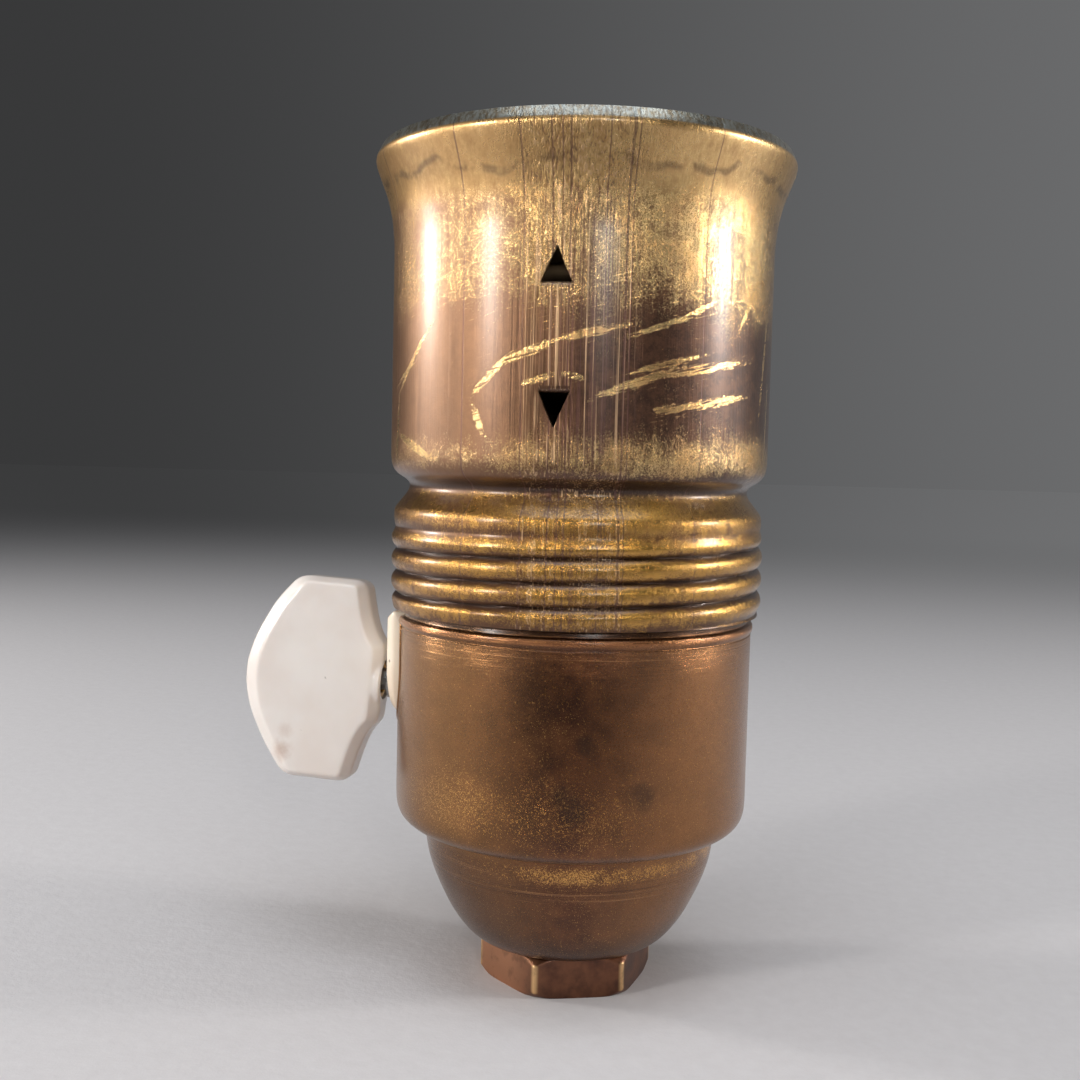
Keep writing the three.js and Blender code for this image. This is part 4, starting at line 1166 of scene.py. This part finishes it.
def build():
    brass = bright_brass("contact_brass", rgb(226, 188, 116), rgb(168, 122, 72), 0.24)
    # the screw shell's outer faces take painted shade, as they sit in the dark inside the shell
    shaded_brass = bright_brass("screw_shell_brass", rgb(226, 188, 116), rgb(168, 122, 72), 0.24, painted_shade_out=0.95)
    screw_brass = bright_brass("screw_brass", rgb(214, 176, 104), rgb(136, 98, 62), 0.3)
    dark_steel = steel()
    glazed = porcelain("glazed_porcelain", rgb(240, 238, 232), rgb(230, 224, 214), 0.7)
    key_glaze = porcelain(
        "key_porcelain",
        rgb(236, 229, 223),
        rgb(229, 218, 210),
        0.6,
        stains=((-31.4, -3, 23.4, 1.7, 0.6), (-31, -3, 25.6, 1.3, 0.3), (-22.5, 2.5, 21.5, 1.4, 0.4)),
    )
    collar_glaze = porcelain("collar_porcelain", rgb(240, 224, 202), rgb(232, 208, 182), 0.5)
    bisque = porcelain("bisque_porcelain", rgb(226, 221, 210), rgb(212, 202, 186), 0.0)

    dress(make_hex_base(), hex_brass(), "base", "hex_base", "hex_brass")
    dress(make_cap(), cap_brass(), "base", "base_cap", "cap_brass")
    dress(make_shell(), shell_brass(), "shell", "shell", "shell_brass")
    dress(make_mouth_ring(), glazed, "mouth_ring", "mouth_ring", "glazed_porcelain")
    dress(make_screw_shell(), shaded_brass, "base", "screw_shell", "contact_brass")
    dress(make_key(), key_glaze, "key", "key", "glazed_porcelain")
    dress(make_collar(), collar_glaze, "base", "key_collar", "glazed_porcelain")
    bodies = frame["record"]["behaviour"]["bodies"]
    for node, turn, material, slot in (
        ("assembly_screw_1", 35, dark_steel, "steel"),
        ("assembly_screw_2", 80, dark_steel, "steel"),
        ("shell_screw_1", 20, screw_brass, "contact_brass"),
        ("shell_screw_2", 115, screw_brass, "contact_brass"),
        ("centre_contact_screw", 60, screw_brass, "contact_brass"),
    ):
        body = "centre_contact" if node in bodies["centre_contact"] else "base"
        dress(make_screw(f"{node}_slotted", node, turn), material, body, node, slot)

    keep("lamp_plate", glazed, 0.25)
    keep("switch_block", bisque, 0.25)
    keep("rotor_disc_inner", bisque, 0.2)
    keep("rotor_disc_outer", bisque, 0.2)
    for node in ("nipple_locknut", "spindle", "detent_cam", "detent_spring"):
        keep(node, dark_steel)
    for node in (
        "centre_contact", "terminal_line", "terminal_neutral", "terminal_screw_line",
        "terminal_screw_neutral", "line_leaf", "lamp_leaf", "side_strap", "contact_bridge",
        "spindle_washer", "spindle_nut", "key_ferrule",
    ):
        keep(node, brass)


# ---------------------------------------------------------------- stage, light and camera
def rectangle(name, x0, x1, y0, y1, z):
    """A level rectangle facing up."""
    return mesh_object(name, [(x0, y0, z), (x1, y0, z), (x1, y1, z), (x0, y1, z)], [(0, 1, 2, 3)])


def make_floor():
    """A pale floor that runs out into the backdrop."""
    floor = rectangle("floor", -FLOOR_HALF, FLOOR_HALF, -FLOOR_HALF, FLOOR_HALF, 0)
    g = Graph("pale_floor")
    weave = g.noise(0.5, 4, rough=0.7)
    colour = g.mix(weave, rgb(200, 196, 197), rgb(212, 209, 210))
    far = g.between(g.y, 120, 900)
    reach = g.from_axis()
    glow = g.between(g.math("DIVIDE", g.y, reach), *BACKDROP_AHEAD)
    glow = g.times(glow, g.between(g.math("DIVIDE", g.x, reach), *BACKDROP_ACROSS), far)
    g.bump(weave, 0.2, 0.4)
    g.preset(Emission_Color=BACKDROP_TINT, Specular_IOR_Level=0.1)
    floor.data.materials.append(
        g.finish(Base_Color=g.mix(far, colour, BLACK), Roughness=0.9, Emission_Strength=glow)
    )


def soft_light(name, degrees, elevation, distance, size, power, colour):
    """A rectangular soft light aimed at the axis."""
    data = bpy.data.lights.new(name, "AREA")
    data.shape = "RECTANGLE"
    data.size, data.size_y = (side * MM for side in size)
    data.energy = power
    data.color = colour
    lamp = placed(name, data)
    flat = distance * math.cos(math.radians(elevation))
    height = LIGHT_AIM + distance * math.sin(math.radians(elevation))
    lamp.location = Vector((*polar(flat, degrees), height)) * MM
    ray = Vector((0, 0, LIGHT_AIM * MM)) - lamp.location
    lamp.rotation_euler = ray.to_track_quat("-Z", "Y").to_euler()


def light_scene():
    for light in LIGHTS:
        soft_light(*light)
    room = bpy.data.worlds.new("studio")
    room.use_nodes = True
    tree = room.node_tree
    place = tree.nodes.new("ShaderNodeTexCoord")
    split = tree.nodes.new("ShaderNodeSeparateXYZ")
    tree.links.new(place.outputs["Generated"], split.inputs[0])
    level = tree.nodes.new("ShaderNodeMath")
    level.operation = "MULTIPLY"
    for i, (axis, limits) in enumerate(((1, BACKDROP_AHEAD), (0, BACKDROP_ACROSS))):
        ramp = tree.nodes.new("ShaderNodeMapRange")
        ramp.interpolation_type = "SMOOTHSTEP"
        for name, value in zip(("From Min", "From Max", "To Min", "To Max"), limits):
            ramp.inputs[name].default_value = value
        tree.links.new(split.outputs[axis], ramp.inputs["Value"])
        tree.links.new(ramp.outputs[0], level.inputs[i])
    backdrop = tree.nodes["Background"]
    backdrop.inputs[0].default_value = BACKDROP_TINT
    tree.links.new(level.outputs[0], backdrop.inputs[1])
    bpy.context.scene.world = room
    bpy.context.scene.view_settings.view_transform = "Standard"


def make_flag():
    """A dark card beside the camera, seen only in reflections, that keeps the brass deep in front."""
    card = rectangle("flag", -170, 190, -620, -50, 1)
    g = Graph("flag")
    side = g.between(g.math("ABSOLUTE", g.add(g.x, -10)), 170, 60)
    fade = g.times(side, g.between(g.y, -55, -130), 0.85)
    g.material.blend_method = "BLEND"
    card.data.materials.append(g.finish(Base_Color=BLACK, Roughness=1.0, Alpha=fade))
    card.visible_camera = card.visible_shadow = card.visible_diffuse = False


def make_camera():
    yaw, pitch, roll = (math.radians(a) for a in (EYE_YAW, EYE_PITCH, EYE_ROLL))
    right = Vector((math.cos(yaw), -math.sin(yaw), 0))
    ahead = Vector((math.cos(pitch) * math.sin(yaw), math.cos(pitch) * math.cos(yaw), -math.sin(pitch)))
    up = right.cross(ahead)
    side = right * math.cos(roll) + up * math.sin(roll)
    top = up * math.cos(roll) - right * math.sin(roll)
    matrix = Matrix((side, top, -ahead)).transposed().to_4x4()
    matrix.translation = Vector((0, -EYE_DISTANCE, EYE_HEIGHT)) * MM
    data = bpy.data.cameras.new("eye")
    data.lens = LENS
    data.sensor_width = SENSOR
    data.clip_start = 0.01
    camera = placed("eye", data)
    camera.matrix_world = Matrix.Rotation(math.radians(STEM_YAW), 4, "Z") @ matrix
    bpy.context.scene.camera = camera


make_camera()
build()
make_floor()
make_flag()
light_scene()
